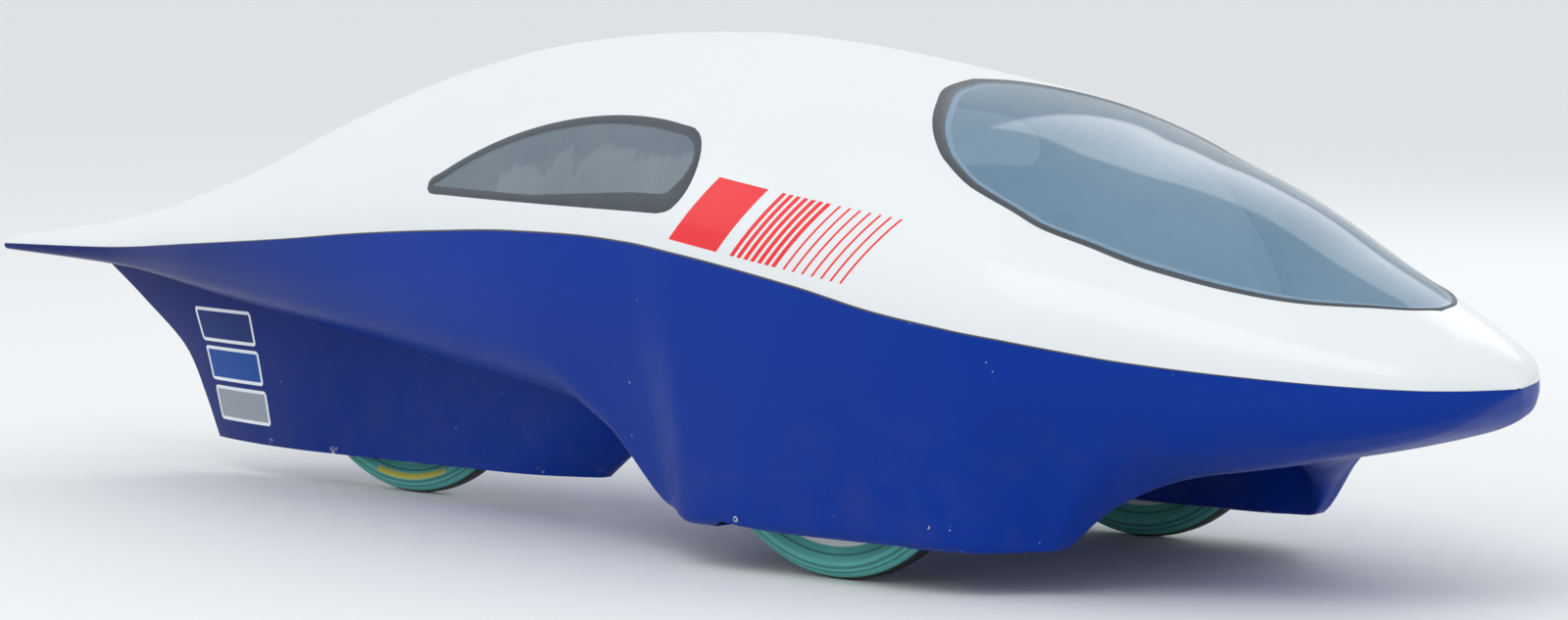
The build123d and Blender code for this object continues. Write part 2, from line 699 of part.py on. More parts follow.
# Power unit: fuel cell, drive motor, gas cylinder and its two bands
cell_depth = 98.0
cell_half = 150.0
cell_high = 130.0
fuel_cell = block(bulkhead_x - cell_depth, bulkhead_x, -cell_half, cell_half, frame_high,
                  frame_high + cell_high)
save(chamfer(fuel_cell.edges(), skin), "fuel_cell")
motor_ahead = 118.0
motor_x = rear_axle_x + motor_ahead
motor_radius = 42.0
motor_length = 80.0
motor_z = 302.0
motor = rod_y(motor_x, motor_z, -axle_half - motor_length, -axle_half, motor_radius)
motor += rod_y(motor_x, motor_z, -axle_half - motor_length - lug_thick, -axle_half,
               motor_radius / 2)
save(motor, "drive_motor")
gas_radius = 43.0
gas_length = 240.0
gas_end_share = 0.6
gas_neck = 12.0
gas_neck_length = 34.0
gas_y = 104.0
gas_z = 330.0
gas_front = bulkhead_x - cell_depth - gas_neck_length - lug_thick
gas = rod_x(gas_y, gas_z, gas_front - gas_length, gas_front, gas_radius)
gas = fillet(gas.edges(), gas_end_share * gas_radius)
gas += rod_x(gas_y, gas_z, gas_front - gas_neck, gas_front + gas_neck_length, gas_neck)
save(gas, "gas_cylinder")
band_thick = 4.0
band_wide = 24.0
band_place_shares = (0.3, 0.7)
bands = []
for share in band_place_shares:
    x = gas_front - share * gas_length
    band = rod_x(gas_y, gas_z, x - band_wide / 2, x + band_wide / 2, gas_radius + band_thick)
    band += block(x - band_wide / 2, x + band_wide / 2, axle_half, gas_y, frame_low, frame_high)
    band -= rod_x(gas_y, gas_z, x - band_wide, x + band_wide, gas_radius)
    bands.append(band.solids().sort_by(SortBy.VOLUME)[-1])
save(Compound(bands), "gas_bands")
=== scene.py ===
# %% [markdown]
# This lesson dresses a three-wheeled hydrogen contest car. Every length is in
# metres, +X runs to the nose, +Y to the driver's left and +Z up. The packed
# model gives the frame: its nodes stay where they are, and each new piece is
# modelled around them and rides on the body that carries it.

# %% Load the frame
import bpy
import json
from bisect import bisect_right
from math import atan2, cos, hypot, pi, radians, sin, sqrt
from mathutils import Matrix, Vector


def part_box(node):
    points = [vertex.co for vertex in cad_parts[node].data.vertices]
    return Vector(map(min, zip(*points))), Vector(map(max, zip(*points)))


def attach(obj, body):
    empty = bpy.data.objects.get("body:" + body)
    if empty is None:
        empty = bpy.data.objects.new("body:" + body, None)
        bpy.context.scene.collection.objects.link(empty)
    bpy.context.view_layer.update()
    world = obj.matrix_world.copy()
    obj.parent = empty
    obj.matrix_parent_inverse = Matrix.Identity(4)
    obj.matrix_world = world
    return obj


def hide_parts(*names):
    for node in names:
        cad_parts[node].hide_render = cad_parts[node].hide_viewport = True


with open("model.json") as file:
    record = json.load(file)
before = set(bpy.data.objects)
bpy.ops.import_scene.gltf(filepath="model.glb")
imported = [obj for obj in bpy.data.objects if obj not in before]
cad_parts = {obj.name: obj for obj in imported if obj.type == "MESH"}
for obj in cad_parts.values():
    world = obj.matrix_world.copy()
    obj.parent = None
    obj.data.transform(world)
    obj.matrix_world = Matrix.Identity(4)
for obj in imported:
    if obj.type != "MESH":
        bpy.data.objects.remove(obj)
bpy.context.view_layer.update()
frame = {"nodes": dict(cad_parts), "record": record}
nodes = frame["nodes"]

# %% [markdown]
# The camera stands to the car's right front, low and far off, with a long
# lens, as in the photograph. Its place and directions were found by fitting
# the arcs of the three wheels, so the outlines of the body can be compared
# with the photograph point by point.

# %% Camera
front_axle_x = 0.555
camera_from_axle = Vector((5.20920, -5.69854, 0.98731))
camera_right = Vector((0.71553, 0.69854, -0.00771))
camera_up = Vector((-0.05610, 0.06845, 0.99608))
camera_ahead = Vector((-0.69632, 0.71229, -0.08817))
focal_pixels = 6486.92
image_width = 1600
sensor_width = 36.0

camera_data = bpy.data.cameras.new("photo_camera")
camera_data.sensor_width = sensor_width
camera_data.lens = focal_pixels * sensor_width / image_width
camera_data.clip_end = 60
camera = bpy.data.objects.new("photo_camera", camera_data)
turn = Matrix((camera_right, camera_up, -camera_ahead)).transposed().to_4x4()
camera.matrix_world = Matrix.Translation(
    camera_from_axle + Vector((front_axle_x, 0, 0))) @ turn
bpy.context.scene.collection.objects.link(camera)
bpy.context.scene.camera = camera
print("lens", round(camera_data.lens, 1))

# %% [markdown]
# The real body is laid up in moulds, so its skin is one smooth surface from
# tail to nose. It is drawn here from the same short table of sections as the
# CAD solids: width, split line, roof, flank, belly and wheel leg at twenty
# stations. Between the stations a curve that never overshoots carries each
# column, so the smooth skin stays inside the size of the solids.

# %% Body sections
car_length = 2.710
wheelbase = 1.048
front_overhang = 0.800
track = 0.546
roof_height = 0.630
half_width = 0.35376
ground_clearance = 0.052
leg_inner_y = 0.20924
leg_tumble = 0.016
leg_lean = 0.004
leg_edge_share = 0.2
shoulder_share = 0.35
split_gap = 0.0006
skin_wall = 0.002
seal_wall = 0.005
nose_round = 0.030
tail_round = 0.008
tyre_radius = 0.239
wheel_y = track / 2
rear_axle_x = front_axle_x - wheelbase
tail_x = -car_length / 2
COLUMNS = ("width", "split", "top", "fullness", "belly", "leg", "taper")
BODY_SHARES = [
    # station: width, split, top, fullness, belly, leg, taper
    (0.000, (0.030, 0.463, 0.475, 0.60, 0.450, 0.00, 0.00)),
    (0.336, (0.170, 0.481, 0.543, 0.60, 0.437, 0.00, 0.00)),
    (0.657, (0.400, 0.517, 0.660, 0.62, 0.396, 0.00, 0.00)),
    (0.969, (0.590, 0.554, 0.817, 0.66, 0.352, 0.00, 0.00)),
    (1.154, (0.700, 0.583, 0.910, 0.70, 0.321, 0.00, 0.00)),
    (1.332, (0.800, 0.606, 0.971, 0.74, 0.288, 0.00, 0.90)),
    (1.490, (0.875, 0.621, 0.995, 0.78, 0.264, 0.04, 0.90)),
    (1.609, (0.915, 0.624, 1.000, 0.80, 0.246, 0.35, 0.82)),
    (1.714, (0.946, 0.618, 0.990, 0.82, 0.230, 0.93, 0.60)),
    (1.800, (0.976, 0.605, 0.973, 0.86, 0.218, 1.00, 0.05)),
    (2.000, (1.000, 0.560, 0.916, 0.92, 0.198, 1.00, 0.00)),
    (2.150, (0.998, 0.525, 0.879, 0.86, 0.194, 1.00, 0.00)),
    (2.300, (0.975, 0.499, 0.824, 0.72, 0.196, 1.00, 0.10)),
    (2.385, (0.915, 0.483, 0.793, 0.66, 0.200, 0.98, 0.76)),
    (2.450, (0.850, 0.469, 0.769, 0.64, 0.208, 0.44, 0.80)),
    (2.540, (0.745, 0.450, 0.728, 0.62, 0.222, 0.02, 0.50)),
    (2.690, (0.590, 0.430, 0.640, 0.62, 0.254, 0.00, 0.00)),
    (2.830, (0.450, 0.418, 0.560, 0.60, 0.292, 0.00, 0.00)),
    (2.930, (0.310, 0.412, 0.490, 0.60, 0.330, 0.00, 0.00)),
    (3.000, (0.070, 0.408, 0.422, 0.60, 0.390, 0.00, 0.00)),
]


def station_x(share):
    if share <= 1:
        return tail_x + share * (rear_axle_x - tail_x)
    if share <= 2:
        return rear_axle_x + (share - 1) * wheelbase
    return front_axle_x + (share - 2) * front_overhang


def mix(start, end, share):
    return start + (end - start) * share


def curve_through(xs, values):
    """A smooth curve through the values that never overshoots them."""
    runs = [b - a for a, b in zip(xs, xs[1:])]
    rates = [(b - a) / run for a, b, run in zip(values, values[1:], runs)]
    slopes = [rates[0]]
    for (run_a, run_b), (rate_a, rate_b) in zip(zip(runs, runs[1:]), zip(rates, rates[1:])):
        if rate_a * rate_b <= 0:
            slopes.append(0.0)
        else:
            weight_a, weight_b = 2 * run_b + run_a, run_b + 2 * run_a
            slopes.append((weight_a + weight_b) / (weight_a / rate_a + weight_b / rate_b))
    slopes.append(rates[-1])

    def value_at(x):
        index = min(max(bisect_right(xs, x) - 1, 0), len(runs) - 1)
        t = min(max((x - xs[index]) / runs[index], 0), 1)
        start, end, run = values[index], values[index + 1], runs[index]
        return (start * (1 + 2 * t) * (1 - t) ** 2 + end * t * t * (3 - 2 * t)
                + run * (slopes[index] * t * (1 - t) ** 2 - slopes[index + 1] * t * t * (1 - t)))
    return value_at


station_xs = [station_x(share) for share, values in BODY_SHARES]
curves = {name: curve_through(station_xs, [values[index] for share, values in BODY_SHARES])
          for index, name in enumerate(COLUMNS)}
nose_x = station_xs[-1]
print("body from", round(tail_x, 3), "to", round(nose_x, 3))


def body_x(u):
    """Places along the body, closer together near its two ends."""
    even, eased = 2 * u - 1, sin(pi * (u - 0.5))
    return mix(even, eased, 0.8) * (car_length / 2 - 0.0002)


def end_share(x):
    """Rounds off the last stretch of nose and tail like a quarter of an ellipse."""
    t = max((x - nose_x + nose_round) / nose_round, (tail_x + tail_round - x) / tail_round, 0)
    return sqrt(max(1 - t * t, 0))


def arch(x, inset=0.0):
    """Half width, split, flank radius, crown radius, crown centre and join angle."""
    half = curves["width"](x) * half_width
    split = curves["split"](x) * roof_height
    rise = curves["top"](x) * roof_height - split
    flank = curves["fullness"](x) * rise
    crown = ((half - flank) ** 2 + rise ** 2 - flank ** 2) / (2 * (rise - flank))
    centre = split + rise - crown
    join = atan2(split - centre, half - flank)
    return half - inset, split, flank - inset, crown - inset, centre, join


def skin_point(x, share, inset=0.0):
    """A point of the upper skin, share from -1 at the right rim to 1 at the left."""
    half, split, flank, crown, centre, join = arch(x, inset)
    crown_run, flank_run = crown * (pi / 2 - join), flank * join
    run = abs(share) * (crown_run + flank_run)
    if run <= crown_run:
        angle = pi / 2 - run / crown
        y, z = crown * cos(angle), centre + crown * sin(angle)
    else:
        angle = join - (run - crown_run) / flank
        y, z = half - flank + flank * cos(angle), split + flank * sin(angle)
    return Vector((x, y if share > 0 else -y, z))


def roof_z(x, y, inset=0.0):
    half, split, flank, crown, centre, join = arch(x, inset)
    if abs(y) <= crown * cos(join):
        return centre + sqrt(crown ** 2 - y * y)
    return split + sqrt(max(flank ** 2 - (abs(y) - half + flank) ** 2, 0))


def flank_y(x, z, inset=0.0):
    half, split, flank, crown, centre, join = arch(x, inset)
    if z >= centre + crown * sin(join):
        return sqrt(max(crown ** 2 - (z - centre) ** 2, 0))
    return half - flank + sqrt(max(flank ** 2 - (z - split) ** 2, 0))


# %% [markdown]
# The lower sections are polygons with rounded corners. Two corners of each side
# travel from the bilge to the two edges of a wheel leg's foot, where the leg
# column grows from nothing to one. Every section has the same number of points,
# so neighbouring sections join into one even skin.

# %% Lower sections
bilge_width_shares = (0.90, 0.62, 0.25)
bilge_depth_shares = (0.25, 0.03, 0.0)
shoulder_rounding = 0.45
bilge_rounding = 0.42
foot_rounding = 0.16
crease_rounding = 0.10
corner_steps = 7
side_steps = 6


def lower_corners(x):
    """Corners of half a lower section, from the split down and in to the belly."""
    width = curves["width"](x) * half_width
    split = curves["split"](x) * roof_height
    belly = curves["belly"](x) * roof_height
    leg, taper = curves["leg"](x), curves["taper"](x)
    depth = split - belly
    outer = width - leg_tumble
    edge = mix(leg_inner_y, outer, leg_edge_share)
    bilge = [(y_share * width, belly + z_share * depth)
             for y_share, z_share in zip(bilge_width_shares, bilge_depth_shares)]
    legs = [(mix(outer, edge, taper), ground_clearance),
            (mix(leg_inner_y, edge, taper), ground_clearance),
            (leg_inner_y - leg_lean, belly)]
    low = [(mix(b[0], l[0], leg), mix(b[1], l[1], leg)) for b, l in zip(bilge, legs)]
    return [(width, split), (width, split - shoulder_share * depth)] + low


def lower_section(x):
    """The rounded section as one list of points from the left rim to the right."""
    half = lower_corners(x)
    corners = [Vector(point) for point in half + [(-y, z) for y, z in reversed(half)]]
    low_rounding = mix(bilge_rounding, foot_rounding, curves["leg"](x))
    rounding = [shoulder_rounding, low_rounding, low_rounding, crease_rounding]
    rounding += list(reversed(rounding))
    points = []
    start = corners[0]
    for index, share in enumerate(rounding, 1):
        before, spot, after = corners[index - 1:index + 2]
        room = share * min((spot - before).length, (after - spot).length)
        first = spot + (before - spot).normalized() * room
        last = spot + (after - spot).normalized() * room
        points += [start.lerp(first, step / side_steps) for step in range(side_steps)]
        for step in range(corner_steps):
            t = step / corner_steps
            points.append(first * (1 - t) ** 2 + spot * 2 * t * (1 - t) + last * t * t)
        start = last
    points += [start.lerp(corners[-1], step / side_steps) for step in range(side_steps + 1)]
    return points


# %% [markdown]
# Helpers for modelling. A skin starts as Blender's grid, whose vertices are
# then moved onto the surface by a formula, because no set of hand moves gives
# a fair surface. It gets its wall with Solidify. Openings are cut with a prism
# made from a filled circle whose rim is moved onto the outline and extruded.

# %% Modelling helpers
def deselect():
    bpy.ops.object.select_all(action="DESELECT")


def choose(piece):
    deselect()
    piece.select_set(True)
    bpy.context.view_layer.objects.active = piece


def edit_all(piece, operator, **settings):
    """Runs an edit-mode operator on the whole mesh."""
    choose(piece)
    bpy.ops.object.mode_set(mode="EDIT")
    bpy.ops.mesh.select_all(action="SELECT")
    operator(**settings)
    bpy.ops.object.mode_set(mode="OBJECT")


def edit_where(piece, kind, wanted):
    """Enters edit mode with only the wanted vertices or faces selected."""
    choose(piece)
    bpy.ops.object.mode_set(mode="EDIT")
    bpy.ops.mesh.select_mode(type=kind)
    bpy.ops.mesh.select_all(action="DESELECT")
    bpy.ops.object.mode_set(mode="OBJECT")
    for part in piece.data.vertices if kind == "VERT" else piece.data.polygons:
        part.select = wanted(part)
    bpy.ops.object.mode_set(mode="EDIT")


def move_points(piece, place):
    """Every vertex goes where place(old position) says."""
    flat = []
    for vertex in piece.data.vertices:
        flat += list(place(vertex.co))
    piece.data.vertices.foreach_set("co", flat)
    piece.data.update()


def skin_grid(name, columns, rows, place):
    """A grid whose u and v from 0 to 1 are moved to place(u, v)."""
    deselect()
    bpy.ops.mesh.primitive_grid_add(x_subdivisions=columns, y_subdivisions=rows, size=2)
    piece = bpy.context.object
    piece.name = piece.data.name = name
    move_points(piece, lambda co: place((co.x + 1) / 2, (co.y + 1) / 2))
    return piece


def face_out(piece, inside):
    """Turns the faces so that most of them look away from the inside point."""
    total = sum((face.center - inside).dot(face.normal) * face.area
                for face in piece.data.polygons)
    if total < 0:
        edit_all(piece, bpy.ops.mesh.flip_normals)


def apply(piece, kind, **settings):
    choose(piece)
    modifier = piece.modifiers.new(kind.lower(), kind)
    for key, value in settings.items():
        setattr(modifier, key, value)
    bpy.ops.object.modifier_apply(modifier=modifier.name)


def wall(piece, thickness, inner_slot=0):
    """Thickens a skin inwards; its inner side can take the piece's next material."""
    apply(piece, "SOLIDIFY", thickness=thickness, offset=-1.0, use_even_offset=True,
          material_offset=inner_slot)


def prism(name, outline, push):
    """A closed prism: an outline of points, pushed along a vector."""
    deselect()
    bpy.ops.mesh.primitive_circle_add(vertices=len(outline), fill_type="NGON")
    piece = bpy.context.object
    piece.name = name
    piece.data.vertices.foreach_set("co", [value for point in outline for value in point])
    bpy.ops.object.mode_set(mode="EDIT")
    bpy.ops.mesh.select_all(action="SELECT")
    bpy.ops.mesh.extrude_region_move(TRANSFORM_OT_translate={"value": push})
    bpy.ops.mesh.select_all(action="SELECT")
    bpy.ops.mesh.normals_make_consistent(inside=False)
    bpy.ops.object.mode_set(mode="OBJECT")
    return piece


def boolean(piece, tool, operation="DIFFERENCE"):
    apply(piece, "BOOLEAN", object=tool, operation=operation, solver="EXACT")
    bpy.data.objects.remove(tool)


def soften(piece, angle=32):
    choose(piece)
    bpy.ops.object.shade_smooth_by_angle(angle=radians(angle))


def copy_of(piece, name):
    twin = piece.copy()
    twin.data = piece.data.copy()
    twin.name = twin.data.name = name
    bpy.context.scene.collection.objects.link(twin)
    return twin


def settle(piece, body, slot, *replaced):
    """Attaches a finished piece to its body and hides the nodes that it stands for. The slot is not
    used.
    """
    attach(piece, body)
    for node in replaced:
        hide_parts(node)
    print(piece.name, "faces", len(piece.data.polygons))


# %% [markdown]
# Materials come first, so that each piece can take its own as it is made. The
# effects that several materials share are node groups. They put out colours,
# masks and heights only, and the shader stays in the material. Everything reads
# Object coordinates in metres, so the detail has its real size. A field stands
# for a value that changes over the surface, and sums on it add Math nodes.

# %% Shader helpers
edge_blur = 0.0004


def link_value(value, socket):
    """Links a field, or sets a plain value."""
    if isinstance(value, Field):
        socket.id_data.links.new(value.socket, socket)
    else:
        socket.default_value = value


def maths(operation, *values, clamp=False):
    tree = next(value.tree for value in values if isinstance(value, Field))
    node = tree.nodes.new("ShaderNodeMath")
    node.operation = operation
    node.use_clamp = clamp
    for value, socket in zip(values, node.inputs):
        link_value(value, socket)
    return Field(node.outputs[0])


class Field:
    """A value, colour or vector that changes over the surface."""

    def __init__(self, socket):
        self.socket = socket
        self.tree = socket.id_data

    def __add__(self, other):
        return maths("ADD", self, other)

    def __sub__(self, other):
        return maths("SUBTRACT", self, other)

    def __rsub__(self, other):
        return maths("SUBTRACT", other, self)

    def __mul__(self, other):
        return maths("MULTIPLY", self, other)

    def ramp(self, low, high):
        """0 below low, 1 above high, smooth between."""
        node = self.tree.nodes.new("ShaderNodeMapRange")
        node.interpolation_type = "SMOOTHSTEP"
        link_value(self, node.inputs["Value"])
        node.inputs["From Min"].default_value = low
        node.inputs["From Max"].default_value = high
        return Field(node.outputs["Result"])

    def between(self, start, end):
        """1 between start and end, with a thin soft edge."""
        up = self.ramp(start - edge_blur, start + edge_blur)
        return up - self.ramp(end - edge_blur, end + edge_blur)

    def noise(self, scale, detail=3.0, roughness=0.5):
        node = self.tree.nodes.new("ShaderNodeTexNoise")
        node.inputs["Scale"].default_value = scale
        node.inputs["Detail"].default_value = detail
        node.inputs["Roughness"].default_value = roughness
        link_value(self, node.inputs["Vector"])
        return Field(node.outputs["Fac"])

    def mix(self, first, second):
        """Goes from the first colour to the second as this share grows."""
        node = self.tree.nodes.new("ShaderNodeMix")
        node.data_type = "RGBA"
        link_value(self, node.inputs["Factor"])
        for colour, socket in ((first, node.inputs[6]), (second, node.inputs[7])):
            link_value(colour if isinstance(colour, Field) else (*colour, 1), socket)
        return Field(node.outputs[2])


def axes_of(tree, source="Object"):
    """Coordinates of the surface, whole and by axis."""
    place = tree.nodes.new("ShaderNodeTexCoord").outputs[source]
    split = tree.nodes.new("ShaderNodeSeparateXYZ")
    tree.links.new(place, split.inputs[0])
    return [Field(socket) for socket in (place, *split.outputs)]


def new_group(name, inputs, *outputs):
    """An empty group: its tree, its inputs as fields and its output node."""
    tree = bpy.data.node_groups.new(name, "ShaderNodeTree")
    for label, kind in inputs.items():
        tree.interface.new_socket(label, in_out="INPUT", socket_type="NodeSocket" + kind)
    for label in outputs:
        tree.interface.new_socket(label, in_out="OUTPUT", socket_type="NodeSocketFloat")
    into = tree.nodes.new("NodeGroupInput")
    given = {label: Field(into.outputs[label]) for label in inputs}
    return tree, given, tree.nodes.new("NodeGroupOutput").inputs


def use_group(tree, group, **values):
    node = tree.nodes.new("ShaderNodeGroup")
    node.node_tree = group
    for label, value in values.items():
        link_value(value, node.inputs[label])
    return {output.name: Field(output) for output in node.outputs}


# %% [markdown]
# Five effects are shared. Dirt lies low down and in patches. Scuffs wear the rim
# of the feet to a pale edge. A laid-up skin has slow waves and a fine peel. A
# weave crosses two sets of threads at a given pitch. A rounded plate gives the
# distance to its own outline, from which a border can be cut.

# %% Shared effects
dirt_group, given, out = new_group("dirt", {"Place": "Vector", "Height": "Float"}, "Mask")
low = 1 - given["Height"].ramp(0.05, 0.30)
patches = given["Place"].noise(14, 6, 0.65).ramp(0.40, 0.75)
link_value(low * patches, out["Mask"])

scuff_group, given, out = new_group("foot_scuffs", {"Place": "Vector", "Height": "Float"}, "Mask")
rim = 1 - given["Height"].ramp(0.0525, 0.058)
worn = given["Place"].noise(34, 4, 0.6).ramp(0.61, 0.70)
link_value(rim * worn, out["Mask"])

skin_group, given, out = new_group("laid_up_skin", {"Place": "Vector"}, "Height", "Shade")
waves = given["Place"].noise(6, 2)
peel = given["Place"].noise(420, 2)
link_value(waves * 0.0012 + peel * 0.00002, out["Height"])
link_value(given["Place"].noise(2.2, 3), out["Shade"])

weave_group, given, out = new_group("weave", {"Place": "Vector", "Pitch": "Float"}, "Height")
axes = weave_group.nodes.new("ShaderNodeSeparateXYZ")
link_value(given["Place"], axes.inputs[0])
x, y, z = (Field(socket) for socket in axes.outputs)
rate = maths("DIVIDE", pi, given["Pitch"])
over = maths("SINE", (x + z) * rate)
under = maths("SINE", y * rate)
link_value(over * under, out["Height"])

plate_inputs = {label: "Float" for label in ("Along", "Up", "HalfAlong", "HalfUp", "Round")}
plate_group, given, out = new_group("rounded_plate", plate_inputs, "Distance")
beyond = []
for label in ("Along", "Up"):
    reach = given["Half" + label] - given["Round"]
    beyond.append(maths("MAXIMUM", maths("ABSOLUTE", given[label]) - reach, 0.0))
corner = maths("SQRT", beyond[0] * beyond[0] + beyond[1] * beyond[1])
link_value(corner - given["Round"], out["Distance"])
print("groups", [group.name for group in bpy.data.node_groups])

# %% [markdown]
# Each material starts from the same maker, which sets what is the same all over
# the surface on the shader itself. What changes over the surface is linked by
# dress: colour, roughness and the height of the bump.

# %% Material makers
def new_material(name, roughness=0.4, metallic=0.0, coat=0.0, coat_roughness=0.05, specular=0.5):
    material = bpy.data.materials.new(name)
    material.use_nodes = True
    shader = material.node_tree.nodes["Principled BSDF"]
    for label, value in (("Roughness", roughness), ("Metallic", metallic), ("Coat Weight", coat),
                         ("Coat Roughness", coat_roughness), ("Specular IOR Level", specular)):
        shader.inputs[label].default_value = value
    return material, shader, axes_of(material.node_tree)


def dress(shader, colour, roughness=None, height=None, distance=1.0):
    tree = shader.id_data
    link_value(colour, shader.inputs["Base Color"])
    if roughness:
        link_value(roughness, shader.inputs["Roughness"])
    if height:
        bump = tree.nodes.new("ShaderNodeBump")
        bump.inputs["Distance"].default_value = distance
        bump.inputs["Strength"].default_value = 1.0
        link_value(height, bump.inputs["Height"])
        tree.links.new(bump.outputs["Normal"], shader.inputs["Normal"])


# %% [markdown]
# The white upper skin is gel coat with a clear gloss. It carries a plain red
# slanted field and two runs of seven slanted bars on each side, thick and then
# thin. They are masks on the length and height of the body, as a sign painter
# would tape them: a straightened height along the split line, and a coordinate
# along the body that leans with the bars. The grid's own map of the surface
# gives the dark line where the skin meets the lower one.

# %% White skin with its red bars
stripe_fall = 0.128
stripe_lean = 0.78
stripe_centre = 0.4137
stripe_half = 0.0425
field_start, field_end = -0.186, -0.100
BAR_RUNS = [
    # start, pitch and width of seven bars
    (-0.077, 0.0119, 0.0076),
    (0.0135, 0.0153, 0.0040),
]
bars_each = 7
joint_start, joint_full = 0.993, 0.9965


def white_skin():
    material, shader, (place, x, y, z) = new_material(
        "white_gel_coat", coat=0.25, coat_roughness=0.04, specular=0.3)
    tree = shader.id_data
    ahead = x - front_axle_x
    level = ahead * stripe_fall + z - stripe_centre
    along = ahead - level * stripe_lean
    mask = along.between(field_start, field_end)
    for start, pitch, width in BAR_RUNS:
        since = along - start
        bar = maths("FLOORED_MODULO", since, pitch).between(edge_blur, width)
        mask = maths("MAXIMUM", mask, bar * since.between(0.0, bars_each * pitch))
    mask = mask * level.between(-stripe_half, stripe_half)
    skin = use_group(tree, skin_group, Place=place)
    dirt = use_group(tree, dirt_group, Place=place, Height=z)["Mask"]
    white = skin["Shade"].mix((0.74, 0.765, 0.78), (0.80, 0.82, 0.825))
    red = skin["Shade"].mix((0.78, 0.012, 0.018), (0.86, 0.024, 0.030))
    across = axes_of(tree, "UV")[2]
    joint = maths("ABSOLUTE", across * 2.0 - 1.0).ramp(joint_start, joint_full)
    painted = joint.mix(mask.mix(white, red), (0.05, 0.055, 0.07))
    dress(shader, (dirt * 0.25).mix(painted, (0.45, 0.44, 0.42)), skin["Shade"] * 0.15 + 0.24,
          skin["Height"], 0.6)
    return material


# %% [markdown]
# The blue lower skin is a deep, slightly duller paint. Painted shade darkens it
# towards the tail. It is worn through to a pale edge at the feet, dusty low down,
# and has a few small stone chips. The fin wears the same paint with three blank
# rounded plates on each side, where such cars carry their labels: two blue ones
# and a grey one with pale borders.

# %% Blue skin and the fin's blank plates
PLATES = [
    # centre along the car, height, colour
    (-0.8455, 0.2035, (0.010, 0.030, 0.16)),
    (-0.8320, 0.1500, (0.012, 0.075, 0.33)),
    (-0.8170, 0.0960, (0.30, 0.33, 0.37)),
]
plate_half_along = 0.0665
plate_half_up = 0.0235
plate_round = 0.006
plate_border = 0.0045
plate_lean = 0.22


def blue_skin(name, plates):
    material, shader, (place, x, y, z) = new_material(
        name, coat=0.02, coat_roughness=0.06, specular=0.10)
    tree = shader.id_data
    skin = use_group(tree, skin_group, Place=place)
    dirt = use_group(tree, dirt_group, Place=place, Height=z)["Mask"]
    scuffs = use_group(tree, scuff_group, Place=place, Height=z)["Mask"]
    # Random tone plus painted shade: the blue is painted darker towards the tail.
    depth = skin["Shade"] * 0.3 + (1 - x.ramp(-1.15, -0.05)) * 0.75
    chips = place.noise(130, 2).ramp(0.785, 0.80)
    colour = depth.mix((0.0002, 0.036, 0.325), (0.0004, 0.0095, 0.112))
    colour = (dirt * 0.16).mix(colour, (0.10, 0.10, 0.12))
    colour = maths("MAXIMUM", scuffs, chips).mix(colour, (0.55, 0.56, 0.55))
    for centre_x, centre_z, tint in PLATES if plates else []:
        up = z - centre_z
        along = up * plate_lean + (x - centre_x)
        far = use_group(tree, plate_group, Along=along, Up=up, HalfAlong=plate_half_along,
                        HalfUp=plate_half_up, Round=plate_round)["Distance"]
        whole = 1 - far.ramp(-edge_blur, edge_blur)
        inner = 1 - far.ramp(-plate_border - edge_blur, -plate_border + edge_blur)
        colour = whole.mix(colour, inner.mix((0.80, 0.84, 0.88), tint))
    rough = maths("MULTIPLY_ADD", dirt, 0.25, skin["Shade"] * 0.16 + 0.26, clamp=True)
    dress(shader, colour, rough, skin["Height"], 0.6)
    return material


# %% [markdown]
# The windows are clear film stretched over their openings, with a faint blue
# haze, and the side windows show soft wrinkles. The seals are dark rubber strip
# with a fine grain. Tyres have teal sidewalls with dark rings and a black tread,
# and the rear one keeps its yellow band, blank.

# %% Window, seal and tyre materials
def window_film(name, alpha, tint, wrinkle):
    material, shader, (place, x, y, z) = new_material(name, roughness=0.06, coat=0.3)
    haze = place.noise(5, 3)
    link_value(haze * 0.22 + (alpha - 0.11), shader.inputs["Alpha"])
    height = None
    if wrinkle:
        folds = place.tree.nodes.new("ShaderNodeTexWave")
        for label, value in (("Scale", 3.0), ("Distortion", 9.0), ("Detail", 3.0),
                             ("Detail Scale", 2.0)):
            folds.inputs[label].default_value = value
        link_value(place, folds.inputs["Vector"])
        height = Field(folds.outputs["Fac"])
    pale = tuple(0.75 * value + 0.12 for value in tint)
    dress(shader, haze.mix(tint, pale), None, height, wrinkle)
    return material


def seal_rubber():
    material, shader, (place, x, y, z) = new_material("seal_rubber", specular=0.4)
    worn = place.noise(30, 4)
    dress(shader, worn.mix((0.028, 0.036, 0.046), (0.075, 0.092, 0.112)), worn * 0.3 + 0.3,
          place.noise(900, 2), 0.0002)
    return material


sidewall_rings = ((0.2085, 0.0008), (0.2240, 0.0012), (0.2300, 0.0005))
ring_blur = 0.0007
tread_start, tread_full = 0.2350, 0.2370
band_inner, band_outer = 0.2128, 0.2208
band_back, band_ahead = -0.26, 0.36
tread_bars = 420.0


